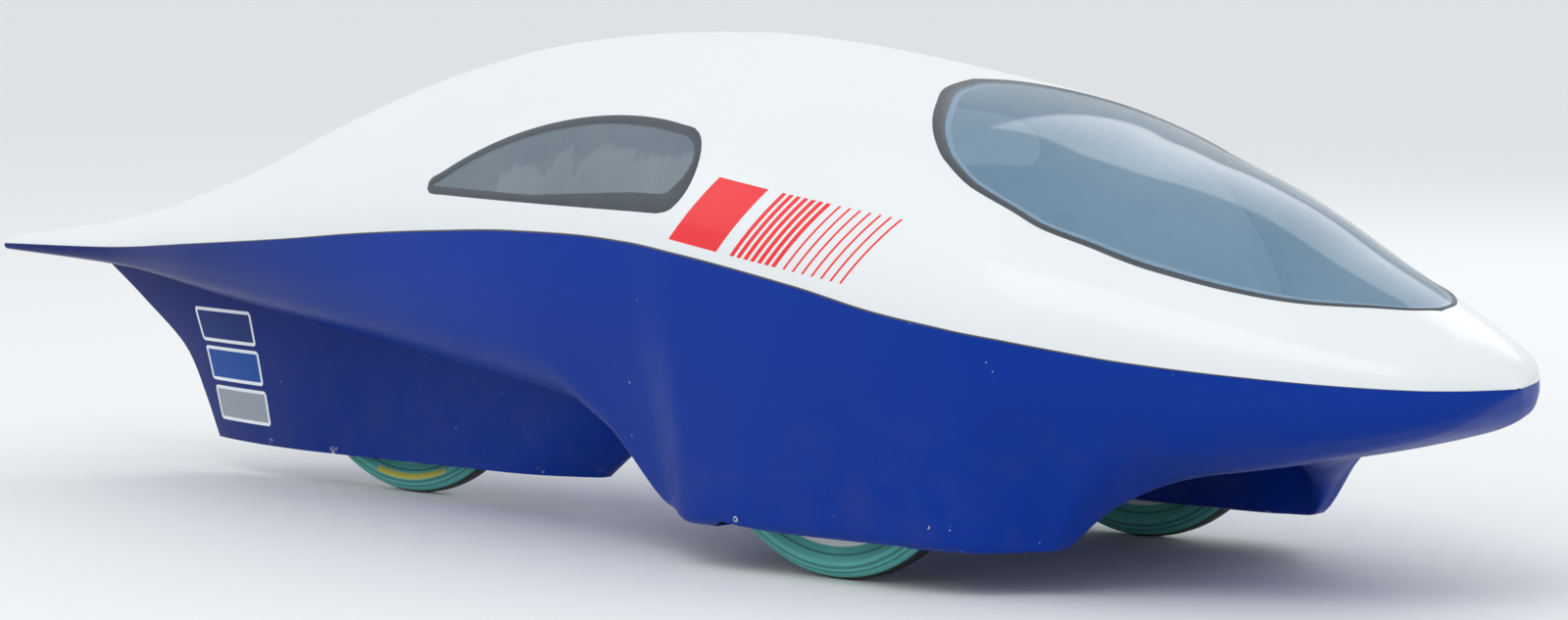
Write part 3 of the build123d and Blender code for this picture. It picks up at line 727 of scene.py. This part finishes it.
def tyre_rubber(name, centre, yellow):
    """Rings by the distance from the wheel's centre, tread on the crown."""
    material, shader, (place, x, y, z) = new_material(name, specular=0.35)
    off_x, off_z = x - centre[0], z - centre[1]
    radius = maths("SQRT", off_x * off_x + off_z * off_z)
    turned = maths("ARCTAN2", off_x, off_z * -1.0)
    wear = place.noise(45, 5)
    tread = radius.ramp(tread_start, tread_full)
    grooves = 0.0
    for ring, half in sidewall_rings:
        near = maths("ABSOLUTE", radius - ring)
        grooves = maths("MAXIMUM", grooves, 1 - near.ramp(half, half + ring_blur))
    teal = wear.mix((0.075, 0.360, 0.330), (0.14, 0.50, 0.46))
    colour = (grooves * 0.6).mix(teal, (0.012, 0.085, 0.085))
    if yellow:
        band = radius.between(band_inner, band_outer) * turned.between(band_back, band_ahead)
        colour = (band * 0.85).mix(colour, (0.55, 0.47, 0.03))
    ribs = maths("SINE", turned * tread_bars) * tread * 0.35
    dress(shader, tread.mix(colour, (0.018, 0.022, 0.022)), wear * 0.25 + 0.42,
          ribs - grooves, 0.0006)
    return material


# %% [markdown]
# Two makers serve the inside of the car. Metal, paint and plastic are two tones
# of one noise, which is drawn out along an axis where the real surface is brushed
# or turned. Cloth, foam and carbon are a weave at its real pitch under slow stains.
# At the end every carried-over node gets the material of its own slot.

# %% Hard and soft materials of the inside
def grained(name, dark, light, scale, roughness, bump, metallic=0.0, coat=0.0, stretch=(1, 1, 1)):
    material, shader, (place, x, y, z) = new_material(name, metallic=metallic, coat=coat)
    drawn = place.tree.nodes.new("ShaderNodeMapping")
    drawn.inputs["Scale"].default_value = stretch
    link_value(place, drawn.inputs["Vector"])
    grain = Field(drawn.outputs["Vector"]).noise(scale, 4, 0.6)
    tone = grain * 0.6 + place.noise(9, 4) * 0.4
    dress(shader, tone.mix(dark, light), tone * 0.22 + (roughness - 0.11), grain, bump)
    return material


def woven(name, dark, light, pitch, roughness, bump, coat=0.0):
    material, shader, (place, x, y, z) = new_material(name, coat=coat)
    weave = use_group(place.tree, weave_group, Place=place, Pitch=pitch)["Height"]
    stain = place.noise(12, 4)
    tone = maths("MULTIPLY_ADD", weave, 0.3, stain * 0.5 + 0.2, clamp=True)
    dress(shader, tone.mix(dark, light), stain * 0.2 + (roughness - 0.1), weave, bump)
    return material


materials = {
    "white_shell": white_skin(),
    "blue_shell": blue_skin("blue_paint", False),
    "window": window_film("windscreen_film", 0.44, (0.17, 0.36, 0.54), 0.0),
    "seal": seal_rubber(),
    "wheel_disc": woven("disc_cloth", (0.60, 0.62, 0.62), (0.74, 0.76, 0.76), 0.0022, 0.42, 0.0001),
    "aluminium": grained("brushed_aluminium", (0.52, 0.53, 0.54), (0.72, 0.73, 0.74), 90, 0.32,
                         0.00008, metallic=1.0, stretch=(1, 12, 1)),
    "steel": grained("turned_steel", (0.36, 0.37, 0.38), (0.55, 0.56, 0.57), 160, 0.30, 0.00005,
                     metallic=1.0, stretch=(1, 1, 6)),
    "dark_composite": woven("carbon_cloth", (0.008, 0.008, 0.009), (0.045, 0.047, 0.05), 0.004,
                            0.32, 0.0001, coat=0.5),
    "pale_composite": woven("glass_cloth", (0.50, 0.54, 0.57), (0.66, 0.70, 0.72), 0.003, 0.45,
                            0.0001),
    "seat_fabric": woven("pad_cloth", (0.014, 0.016, 0.020), (0.055, 0.06, 0.07), 0.0018, 0.85,
                         0.0003),
    "grip_rubber": woven("grip_foam", (0.008, 0.008, 0.008), (0.030, 0.030, 0.030), 0.005, 0.8,
                         0.0006),
    "cell_case": grained("powder_coat", (0.07, 0.08, 0.09), (0.11, 0.12, 0.13), 700, 0.5, 0.0001),
    "gas_composite": woven("wound_composite", (0.010, 0.010, 0.011), (0.06, 0.058, 0.055), 0.007,
                           0.28, 0.0002, coat=0.6),
}
fin_material = blue_skin("fin_paint", True)
side_film = window_film("side_window_film", 0.62, (0.13, 0.19, 0.25), 0.0010)
wheel_centres = {"front_left": front_axle_x, "front_right": front_axle_x, "rear": rear_axle_x}
for row in frame["record"]["subparts"]:
    piece = nodes[row["node"]]
    piece.data.materials.clear()
    if row["material_slot"] == "tyre":
        place_name = row["node"][len("tyre_"):]
        piece.data.materials.append(tyre_rubber(
            row["node"] + "_rubber", (wheel_centres[place_name], tyre_radius), place_name == "rear"))
    else:
        piece.data.materials.append(materials[row["material_slot"]])
print("materials", len(bpy.data.materials))

# %% [markdown]
# Outlines of the windows. The windscreen is a leaf seen from above: one fair
# curve a side, from the tip to a blunt round end. The side window is a drop seen
# from the side. The same outlines, drawn in a little, give the seal, the bonded
# line and the film.

# %% Window outlines
def arc(start, middle, end, steps):
    """Points on the circle through three points, without the last one."""
    (ax, ay), (bx, by), (cx, cy) = start, middle, end
    d = 2 * (ax * (by - cy) + bx * (cy - ay) + cx * (ay - by))
    ux = ((ax * ax + ay * ay) * (by - cy) + (bx * bx + by * by) * (cy - ay)
          + (cx * cx + cy * cy) * (ay - by)) / d
    uy = ((ax * ax + ay * ay) * (cx - bx) + (bx * bx + by * by) * (ax - cx)
          + (cx * cx + cy * cy) * (bx - ax)) / d
    radius = hypot(ax - ux, ay - uy)
    first = atan2(ay - uy, ax - ux)
    way = 1 if (bx - ax) * (cy - ay) - (by - ay) * (cx - ax) > 0 else -1
    sweep = (way * (atan2(cy - uy, cx - ux) - first)) % (2 * pi)
    return [(ux + radius * cos(first + way * sweep * step / steps),
             uy + radius * sin(first + way * sweep * step / steps)) for step in range(steps)]


def distance_to(outline, spot):
    """The least distance from a spot to a closed outline."""
    least = 9.0
    for (ax, ay), (bx, by) in zip(outline, outline[1:] + outline[:1]):
        run = (bx - ax) ** 2 + (by - ay) ** 2
        t = ((spot[0] - ax) * (bx - ax) + (spot[1] - ay) * (by - ay)) / max(run, 1e-12)
        t = min(max(t, 0), 1)
        least = min(least, hypot(spot[0] - ax - t * (bx - ax), spot[1] - ay - t * (by - ay)))
    return least


def drawn_in(outline, amounts):
    """A closed outline moved inwards, by an amount for each point, with no folds."""
    count = len(outline)
    area = sum(outline[i - 1][0] * outline[i][1] - outline[i][0] * outline[i - 1][1]
               for i in range(count))
    way = 1 if area > 0 else -1
    inner, kept = [], []
    for index, (x, y) in enumerate(outline):
        before, after = outline[index - 1], outline[(index + 1) % count]
        run = hypot(after[0] - before[0], after[1] - before[1])
        nx, ny = -(after[1] - before[1]) / run * way, (after[0] - before[0]) / run * way
        spot = (x + nx * amounts[index], y + ny * amounts[index])
        inner.append(spot)
        if distance_to(outline, spot) > amounts[index] * 0.985:
            kept.append(index)
    for start, end in zip(kept, kept[1:] + [kept[0] + count]):
        for index in range(start + 1, end):
            share = (index - start) / (end - start)
            first, last = inner[start], inner[end % count]
            inner[index % count] = (mix(first[0], last[0], share), mix(first[1], last[1], share))
    return inner


LEAF_SHARES = [
    # station and half width of the leaf, from its tip to its blunt end
    (2.862, 0.000), (2.849, 0.101), (2.808, 0.230), (2.753, 0.340), (2.663, 0.457),
    (2.564, 0.558), (2.459, 0.646), (2.341, 0.707), (2.246, 0.709), (2.172, 0.670),
    (2.121, 0.598), (2.078, 0.507), (2.030, 0.370), (1.985, 0.200), (1.966, 0.000),
]
leaf_steps = 80


def smooth_side(spots, steps):
    """Points of a smooth curve through the spots, by the length along them."""
    runs = [0.0]
    for start, end in zip(spots, spots[1:]):
        runs.append(runs[-1] + hypot(end[0] - start[0], end[1] - start[1]))
    along, across = (curve_through(runs, [spot[axis] for spot in spots]) for axis in (0, 1))
    return [(along(runs[-1] * step / steps), across(runs[-1] * step / steps))
            for step in range(steps)]


leaf_spots = [(station_x(share), half * half_width) for share, half in LEAF_SHARES]
mirrored = [(x, -y) for x, y in reversed(leaf_spots)]
leaf = smooth_side(leaf_spots, leaf_steps) + smooth_side(mirrored, leaf_steps)
seal_curve = curve_through([station_x(share) for share in (1.96, 2.03, 2.17, 2.34, 2.87)],
                           [0.018, 0.017, 0.012, 0.0075, 0.0045])
leaf_seal = [seal_curve(x) for x, y in leaf]
leaf_film = drawn_in(leaf, leaf_seal)

drop_foot = 0.680 * roof_height
drop_tip_height = 0.713 * roof_height
drop_rear = (front_axle_x - 0.718, drop_tip_height)
drop_tip = (front_axle_x - 0.735, (drop_foot + drop_tip_height) / 2)
drop_heel = (front_axle_x - 0.718, drop_foot)
drop_toe = (front_axle_x - 0.235, drop_foot)
drop_bulge = (front_axle_x - 0.195, 0.750 * roof_height)
drop_corner = (front_axle_x - 0.252, 0.843 * roof_height)
drop_crown = (front_axle_x - 0.460, 0.846 * roof_height)
corner_round = 0.020


def rounded(outline, reach):
    """Averages each point with its neighbours within a reach along the outline."""
    smooth = []
    count = len(outline)
    for index in range(count):
        x, y = outline[index]
        near = [outline[(index + step) % count] for step in range(-3, 4)]
        near = [p for p in near if hypot(p[0] - x, p[1] - y) <= reach]
        smooth.append((sum(p[0] for p in near) / len(near), sum(p[1] for p in near) / len(near)))
    return smooth


def line(start, end, steps):
    return [(mix(start[0], end[0], step / steps), mix(start[1], end[1], step / steps))
            for step in range(steps)]


drop = (arc(drop_corner, drop_crown, drop_rear, 44) + arc(drop_rear, drop_tip, drop_heel, 8)
        + line(drop_heel, drop_toe, 40) + arc(drop_toe, drop_bulge, drop_corner, 16))
drop = rounded(drop, corner_round)
drop_border = [0.010 + 0.013 * min(max((x - front_axle_x + 0.50) / 0.20, 0), 1)
               * min(max((0.50 - z) / 0.05, 0), 1) for x, z in drop]
drop_film = drawn_in(drop, drop_border)
print("outline points", len(leaf), len(drop))


def on_roof(point, inset=0.0):
    return Vector((point[0], point[1], roof_z(point[0], point[1], inset)))


def on_flank(side):
    def place(point, inset=0.0):
        return Vector((point[0], side * flank_y(point[0], point[1], inset), point[1]))
    return place


def band(name, outer, inner, place, lift, rows=4):
    """A closed strip between two outlines, laid on the skin and slightly crowned."""
    count = len(outer)

    def at(u, v):
        index = round(u * count) % count
        start, end = outer[index], inner[index]
        spot = (mix(start[0], end[0], v), mix(start[1], end[1], v))
        return place(spot, -lift * sin(pi * v) ** 0.5 if 0 < v < 1 else 0.0)

    strip = skin_grid(name, count, rows, at)
    edit_all(strip, bpy.ops.mesh.remove_doubles, threshold=0.00001)
    return strip


# %% [markdown]
# The upper skin: a grid of fine sections is bent onto the arches and closed at
# nose and tail. It gets a two millimetre wall inwards, bare composite inside, and
# the three window openings are cut out of it. Real shells are made the same way:
# moulded whole, then sawn out.

# %% Upper skin
body_core = Vector((0, 0, 0.35))
hair = 0.00005

def upper_place(u, v):
    x = body_x(u)
    point = skin_point(x, 2 * v - 1)
    split = curves["split"](x) * roof_height + split_gap
    z = split + (point.z - split) * end_share(x)
    return Vector((x, point.y * end_share(x), min(z, roof_height - hair)))


def close_ends(piece):
    """Merges the points that meet at the tips of nose and tail."""
    edit_all(piece, bpy.ops.mesh.remove_doubles, threshold=0.00002)


upper_columns, upper_rows = 260, 72
upper_skin = skin_grid("upper_skin", upper_columns, upper_rows, upper_place)
close_ends(upper_skin)
face_out(upper_skin, body_core)
film_base = copy_of(upper_skin, "film_base")
upper_skin.data.materials.append(materials["white_shell"])
upper_skin.data.materials.append(materials["pale_composite"])
wall(upper_skin, skin_wall, inner_slot=1)
sky = roof_height * 2
boolean(upper_skin, prism("leaf_cut", [(x, y, 0.2) for x, y in leaf], (0, 0, sky)))
boolean(upper_skin, prism("drop_cut", [(x, -half_width * 2, z) for x, z in drop],
                          (0, half_width * 4, 0)))
soften(upper_skin)
settle(upper_skin, "upper", "white_shell", "upper_shell")

# %% [markdown]
# Films and seals. Each film is the piece of the smooth skin inside its seal,
# two millimetres thick. The seals are strips of dark rubber on the rim of the
# opening, widest behind the windscreen's blunt end. Inside the windscreen's seal
# runs a pale line, as the photograph shows: a painted highlight along the film's
# edge.

# %% Windscreen and side windows
film_wall = 0.002
wall(film_base, film_wall)
highlight_line_width = 0.0070
highlight_line_depth = 0.0025
highlight_line_wall = 0.0012
seal_crown = 0.0012
highlight_line_inner = drawn_in(leaf_film, [highlight_line_width] * len(leaf_film))
# A pale material for the line inside the windscreen's seal: a painted highlight along the film's
# edge.
painted_edge_highlight = grained("painted_highlight_line", (0.60, 0.68, 0.76), (0.80, 0.86, 0.90), 60, 0.45, 0.0001)


def film(name, cut, material, node):
    piece = copy_of(film_base, name)
    boolean(piece, cut, "INTERSECT")
    piece.data.materials.append(material)
    soften(piece)
    settle(piece, "upper", "window", node)


def strip(name, outer, inner, place, lift, rows, thickness, material, *replaced):
    piece = band(name, outer, inner, place, lift, rows)
    face_out(piece, body_core)
    wall(piece, thickness)
    piece.data.materials.append(material)
    soften(piece, 40)
    settle(piece, "upper", "seal", *replaced)


def under_film(point, inset=0.0):
    return on_roof(point, highlight_line_depth + inset)


film("windscreen_film", prism("film_cut", [(x, y, 0.2) for x, y in leaf_film], (0, 0, sky)),
     materials["window"], "windscreen")
strip("windscreen_seal_strip", leaf, leaf_film, on_roof, seal_crown, 4, seal_wall,
      materials["seal"], "windscreen_seal")
# The pale strip inside the windscreen's seal is a painted highlight, not a real part.
strip("windscreen_painted_highlight_line", leaf_film, highlight_line_inner, under_film, 0.0, 2, highlight_line_wall, painted_edge_highlight)
for side, side_name in ((1, "left"), (-1, "right")):
    film_cut = prism("film_cut", [(x, 0.02 * side, z) for x, z in drop_film],
                     (0, side * half_width * 2, 0))
    film("side_film_" + side_name, film_cut, side_film, "side_window_" + side_name)
    strip("side_seal_strip_" + side_name, drop, drop_film, on_flank(side), seal_crown, 4,
          seal_wall, materials["seal"], "side_window_seal_" + side_name)
bpy.data.objects.remove(film_base)

# %% [markdown]
# The lower skin is one grid too. Where the leg column of the table grows from
# nothing to one, the bilge corners travel down and out into a wheel leg, so the
# legs, the tunnel between them and the tapering belly are one fair surface.
# The slots for the wheels are cut through the feet and the belly.

# %% Lower skin
lower_columns = 360


def lower_place():
    sections = {}

    def place(u, v):
        x = body_x(u)
        key = round(u * lower_columns)
        if key not in sections:
            sections[key] = lower_section(x)
        points = sections[key]
        spot = points[min(round(v * (len(points) - 1)), len(points) - 1)]
        split = points[0].y
        return Vector((x, spot.x * end_share(x), split + (spot.y - split) * end_share(x)))
    return place


lower_rows = len(lower_section(0.0)) - 1
lower_skin = skin_grid("lower_skin", lower_columns, lower_rows, lower_place())
close_ends(lower_skin)
face_out(lower_skin, Vector((0, 0, 0.30)))
lower_skin.data.materials.append(materials["blue_shell"])
lower_skin.data.materials.append(materials["pale_composite"])
wall(lower_skin, skin_wall, inner_slot=1)


def slot_outline(x, y, half_long, half_wide, round_end, z):
    points = []
    for corner, (sx, sy) in enumerate(((1, 1), (-1, 1), (-1, -1), (1, -1))):
        for step in range(6):
            angle = pi / 2 * (corner + step / 5)
            points.append((x + sx * (half_long - round_end) + round_end * cos(angle),
                           y + sy * (half_wide - round_end) + round_end * sin(angle), z))
    return points


front_slot_long, front_slot_wide = 0.173, 0.057
rear_slot_long, rear_slot_wide = 0.171, 0.0355
for y in (wheel_y, -wheel_y):
    outline = slot_outline(front_axle_x, y, front_slot_long, front_slot_wide, 0.030, 0.03)
    boolean(lower_skin, prism("slot_cut", outline, (0, 0, 0.04)))
rear_well = slot_outline(rear_axle_x, 0, 0.30, 0.043, 0.02, 0.10)
boolean(lower_skin, prism("well_cut", rear_well, (0, 0, 0.19)))
soften(lower_skin, 40)
settle(lower_skin, "chassis", "blue_shell", "lower_shell")

# %% [markdown]
# The fin around the rear wheel is a thin streamlined fairing that grows out of
# the belly. Its level sections have a soft nose, flat sides and a sharp rear
# edge, and each point runs up until it meets the belly above it.

# %% Rear fin
FIN_SHARES = [
    # height share, reach ahead of the rear axle and behind it as wheelbase shares
    (0.00, 0.336, 0.383),
    (0.21, 0.402, 0.408),
    (0.45, 0.458, 0.443),
    (0.72, 0.523, 0.532),
    (1.00, 0.571, 0.641),
]
fin_clearance = 0.046
fin_top = 0.476 * roof_height
fin_half = 0.048
fin_nose_length = 0.130
fin_nose_half = 0.014
fin_nose_round = 0.012
fin_edge = 0.003
fin_wall = 0.004
fin_shoulder = 0.120
fin_heights = [row[0] for row in FIN_SHARES]
fin_ahead = curve_through(fin_heights, [row[1] for row in FIN_SHARES])
fin_behind = curve_through(fin_heights, [row[2] for row in FIN_SHARES])


def draw_in(run, draw, t):
    """How far an arc that leaves straight ahead has drawn in at a share of its run."""
    radius = (run * run + draw * draw) / (2 * draw)
    return radius - sqrt(radius * radius - (run * t) ** 2)


def fin_point(u, z):
    """A point of the fin's section at a height, u round from left rear edge to right."""
    height = min(max((z - fin_clearance) / (fin_top - fin_clearance), 0), 1)
    nose = rear_axle_x + fin_ahead(height) * wheelbase
    tail = rear_axle_x - fin_behind(height) * wheelbase
    side = 1 if u < 0.5 else -1
    t = 1 - abs(2 * u - 1)
    shoulder = rear_axle_x - fin_shoulder
    front = nose - fin_nose_length
    if t < 0.35:
        share = 1 - t / 0.35
        run = shoulder - tail
        return shoulder - run * share, side * (fin_half - draw_in(run, fin_half - fin_edge, share))
    if t < 0.60:
        return mix(shoulder, front, (t - 0.35) / 0.25), side * fin_half
    if t < 0.92:
        share = (t - 0.60) / 0.32
        draw = draw_in(fin_nose_length, fin_half - fin_nose_half, share)
        return mix(front, nose, share), side * (fin_half - draw)
    angle = pi / 2 * (t - 0.92) / 0.08
    return nose + fin_nose_round * sin(angle), side * fin_nose_half * cos(angle)


def belly_z(x, y):
    points = lower_corners(x)
    flat = points[4]
    rise = points[3]
    if abs(y) <= flat[0]:
        return flat[1]
    return mix(flat[1], rise[1], min((abs(y) - flat[0]) / max(rise[0] - flat[0], 0.001), 1))


def fin_place(u, v):
    x, y = fin_point(u, fin_top)
    top = belly_z(x, y)
    for step in range(6):
        x, y = fin_point(u, top)
        top = belly_z(x, y) + 0.003
    z = mix(fin_clearance, top, v)
    x, y = fin_point(u, z)
    return Vector((x, y, z))


fin_columns, fin_rows = 160, 36
fin_skin = skin_grid("fin_skin", fin_columns, fin_rows, fin_place)
edit_where(fin_skin, "VERT", lambda vertex: vertex.co.z < fin_clearance + 0.00001)
bpy.ops.mesh.edge_face_add()
bpy.ops.object.mode_set(mode="OBJECT")
edit_all(fin_skin, bpy.ops.mesh.normals_make_consistent, inside=False)
face_out(fin_skin, Vector((rear_axle_x, 0, 0.15)))
wall(fin_skin, fin_wall)
boolean(fin_skin, prism("fin_slot", slot_outline(rear_axle_x, 0, rear_slot_long, rear_slot_wide,
                                                 0.011, 0.03), (0, 0, 0.035)))
fin_skin.data.materials.append(fin_material)
soften(fin_skin, 40)
settle(fin_skin, "chassis", "blue_shell", "rear_wheel_fairing")

# %% [markdown]
# Small pan-head screws hold the feet, as on the real shells. Each is a disc
# whose top is drawn in and bevelled over, with a round socket sunk in its middle,
# laid on the skin that it holds.

# %% Screws
SCREWS = [
    # name, place along the car, height
    ("foot_screw_rear", front_axle_x - 0.119, 0.067),
    ("foot_screw_front", front_axle_x + 0.194, 0.083),
]
screw_radius = 0.0042
screw_height = 0.0016


def pan_head(name, spot, side):
    deselect()
    bpy.ops.mesh.primitive_cylinder_add(vertices=28, radius=screw_radius, depth=screw_height * 2)
    head = bpy.context.object
    head.name = name
    edit_where(head, "FACE", lambda face: face.center.z > screw_height * 0.9)
    bpy.ops.mesh.inset(thickness=screw_radius * 0.3)
    bpy.ops.transform.translate(value=(0, 0, screw_height * 0.5))
    bpy.ops.mesh.inset(thickness=screw_radius * 0.28)
    bpy.ops.mesh.extrude_region_move(TRANSFORM_OT_translate={"value": (0, 0, -screw_height)})
    bpy.ops.object.mode_set(mode="OBJECT")
    move_points(head, lambda co: (spot[0] + co.x, side * (spot[1] + co.z - screw_height * 0.9),
                                  spot[2] + co.y))
    if side < 0:
        edit_all(head, bpy.ops.mesh.normals_make_consistent, inside=False)
    apply(head, "BEVEL", width=0.0002, segments=2, limit_method="ANGLE")
    head.data.materials.append(materials["steel"])
    soften(head, 40)
    settle(head, "chassis", "steel")


def leg_outside(x, z):
    """The half width of the lower skin at a height."""
    points = lower_section(x)
    near = min(points[:len(points) // 2], key=lambda point: abs(point.y - z) - point.x * 0.2)
    return near.x


for screw_name, screw_x, screw_z in SCREWS:
    reach = leg_outside(screw_x, screw_z)
    for side, side_name in ((1, "left"), (-1, "right")):
        pan_head(screw_name + "_" + side_name, (screw_x, reach, screw_z), side)

# %% [markdown]
# The driver's pads are foam in tight cloth. Each starts as a copy of its plain
# solid, slightly smaller, is remeshed finely and blown up a little by Cloth, so
# that it crowns between its corners. The movement is capped, the result is
# applied, and one subdivision smooths it.

# %% Cloth pads
def soft_pad(node, name, body, voxel, cap):
    source = nodes[node]
    pad = source.copy()
    pad.data = source.data.copy()
    pad.name = pad.data.name = name
    bpy.context.scene.collection.objects.link(pad)
    pad.matrix_world = source.matrix_world.copy()
    low, high = (Vector(corner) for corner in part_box(node))
    middle = (low + high) / 2
    shrink = [1 - 0.012 / (high[axis] - low[axis]) for axis in range(3)]
    move_points(pad, lambda co: [middle[axis] + (co[axis] - middle[axis]) * shrink[axis]
                                 for axis in range(3)])
    apply(pad, "REMESH", mode="VOXEL", voxel_size=voxel)
    start = [vertex.co.copy() for vertex in pad.data.vertices]
    choose(pad)
    cloth = pad.modifiers.new("cloth", "CLOTH")
    cloth.settings.use_pressure = True
    cloth.settings.uniform_pressure_force = 4
    cloth.settings.effector_weights.gravity = 0
    cloth.point_cache.frame_start = 1
    cloth.point_cache.frame_end = 20
    for frame_number in range(1, 21):
        bpy.context.scene.frame_set(frame_number)
    bpy.ops.object.modifier_apply(modifier=cloth.name)
    bpy.context.scene.frame_set(1)
    flat = []
    for vertex, first in zip(pad.data.vertices, start):
        step = vertex.co - first
        if step.length > cap:
            step = step.normalized() * cap
        spot = first + step
        flat += [min(max(spot[axis], low[axis]), high[axis]) for axis in range(3)]
    pad.data.vertices.foreach_set("co", flat)
    apply(pad, "SUBSURF", levels=1)
    pad.data.materials.clear()
    pad.data.materials.append(materials["seat_fabric"])
    soften(pad, 60)
    settle(pad, body, "seat_fabric", node)


soft_pad("seat_pad", "seat_cushion", "chassis", 0.006, 0.006)
soft_pad("headrest_pad", "headrest_cushion", "chassis", 0.005, 0.006)

# %% [markdown]
# The floor is plain and pale, the light soft and high, as in a bright hall. The
# key comes from the camera's left and above, so the flank stays a little darker
# than the roof, and no white surface reaches full white.

# %% Floor and light
deselect()
bpy.ops.mesh.primitive_plane_add(size=60)
floor = bpy.context.object
floor.name = "floor"
floor_material, floor_shader, floor_axes = new_material("pale_floor", roughness=0.85, specular=0.2)
floor_shader.inputs["Base Color"].default_value = (0.83, 0.83, 0.83, 1)
floor.data.materials.append(floor_material)

world = bpy.data.worlds.new("studio")
bpy.context.scene.world = world
world.use_nodes = True
world.node_tree.nodes["Background"].inputs["Color"].default_value = (0.95, 0.98, 1.0, 1)
world.node_tree.nodes["Background"].inputs["Strength"].default_value = 0.92
LAMPS = [
    # name, place, watts, size
    ("key", (2.2, -3.6, 4.6), 70, 3.2),
    ("fill", (-4.2, -3.2, 3.0), 24, 3.0),
    ("rim", (-1.0, 4.5, 3.5), 40, 3.0),
]
for name, place, power, size in LAMPS:
    lamp = bpy.data.lights.new(name, "AREA")
    lamp.energy = power
    lamp.size = size
    lamp_object = bpy.data.objects.new(name, lamp)
    lamp_object.location = place
    aim = Vector((0, 0, 0.3)) - Vector(place)
    lamp_object.rotation_euler = aim.to_track_quat("-Z", "Y").to_euler()
    bpy.context.scene.collection.objects.link(lamp_object)
bpy.context.scene.view_settings.view_transform = "Standard"
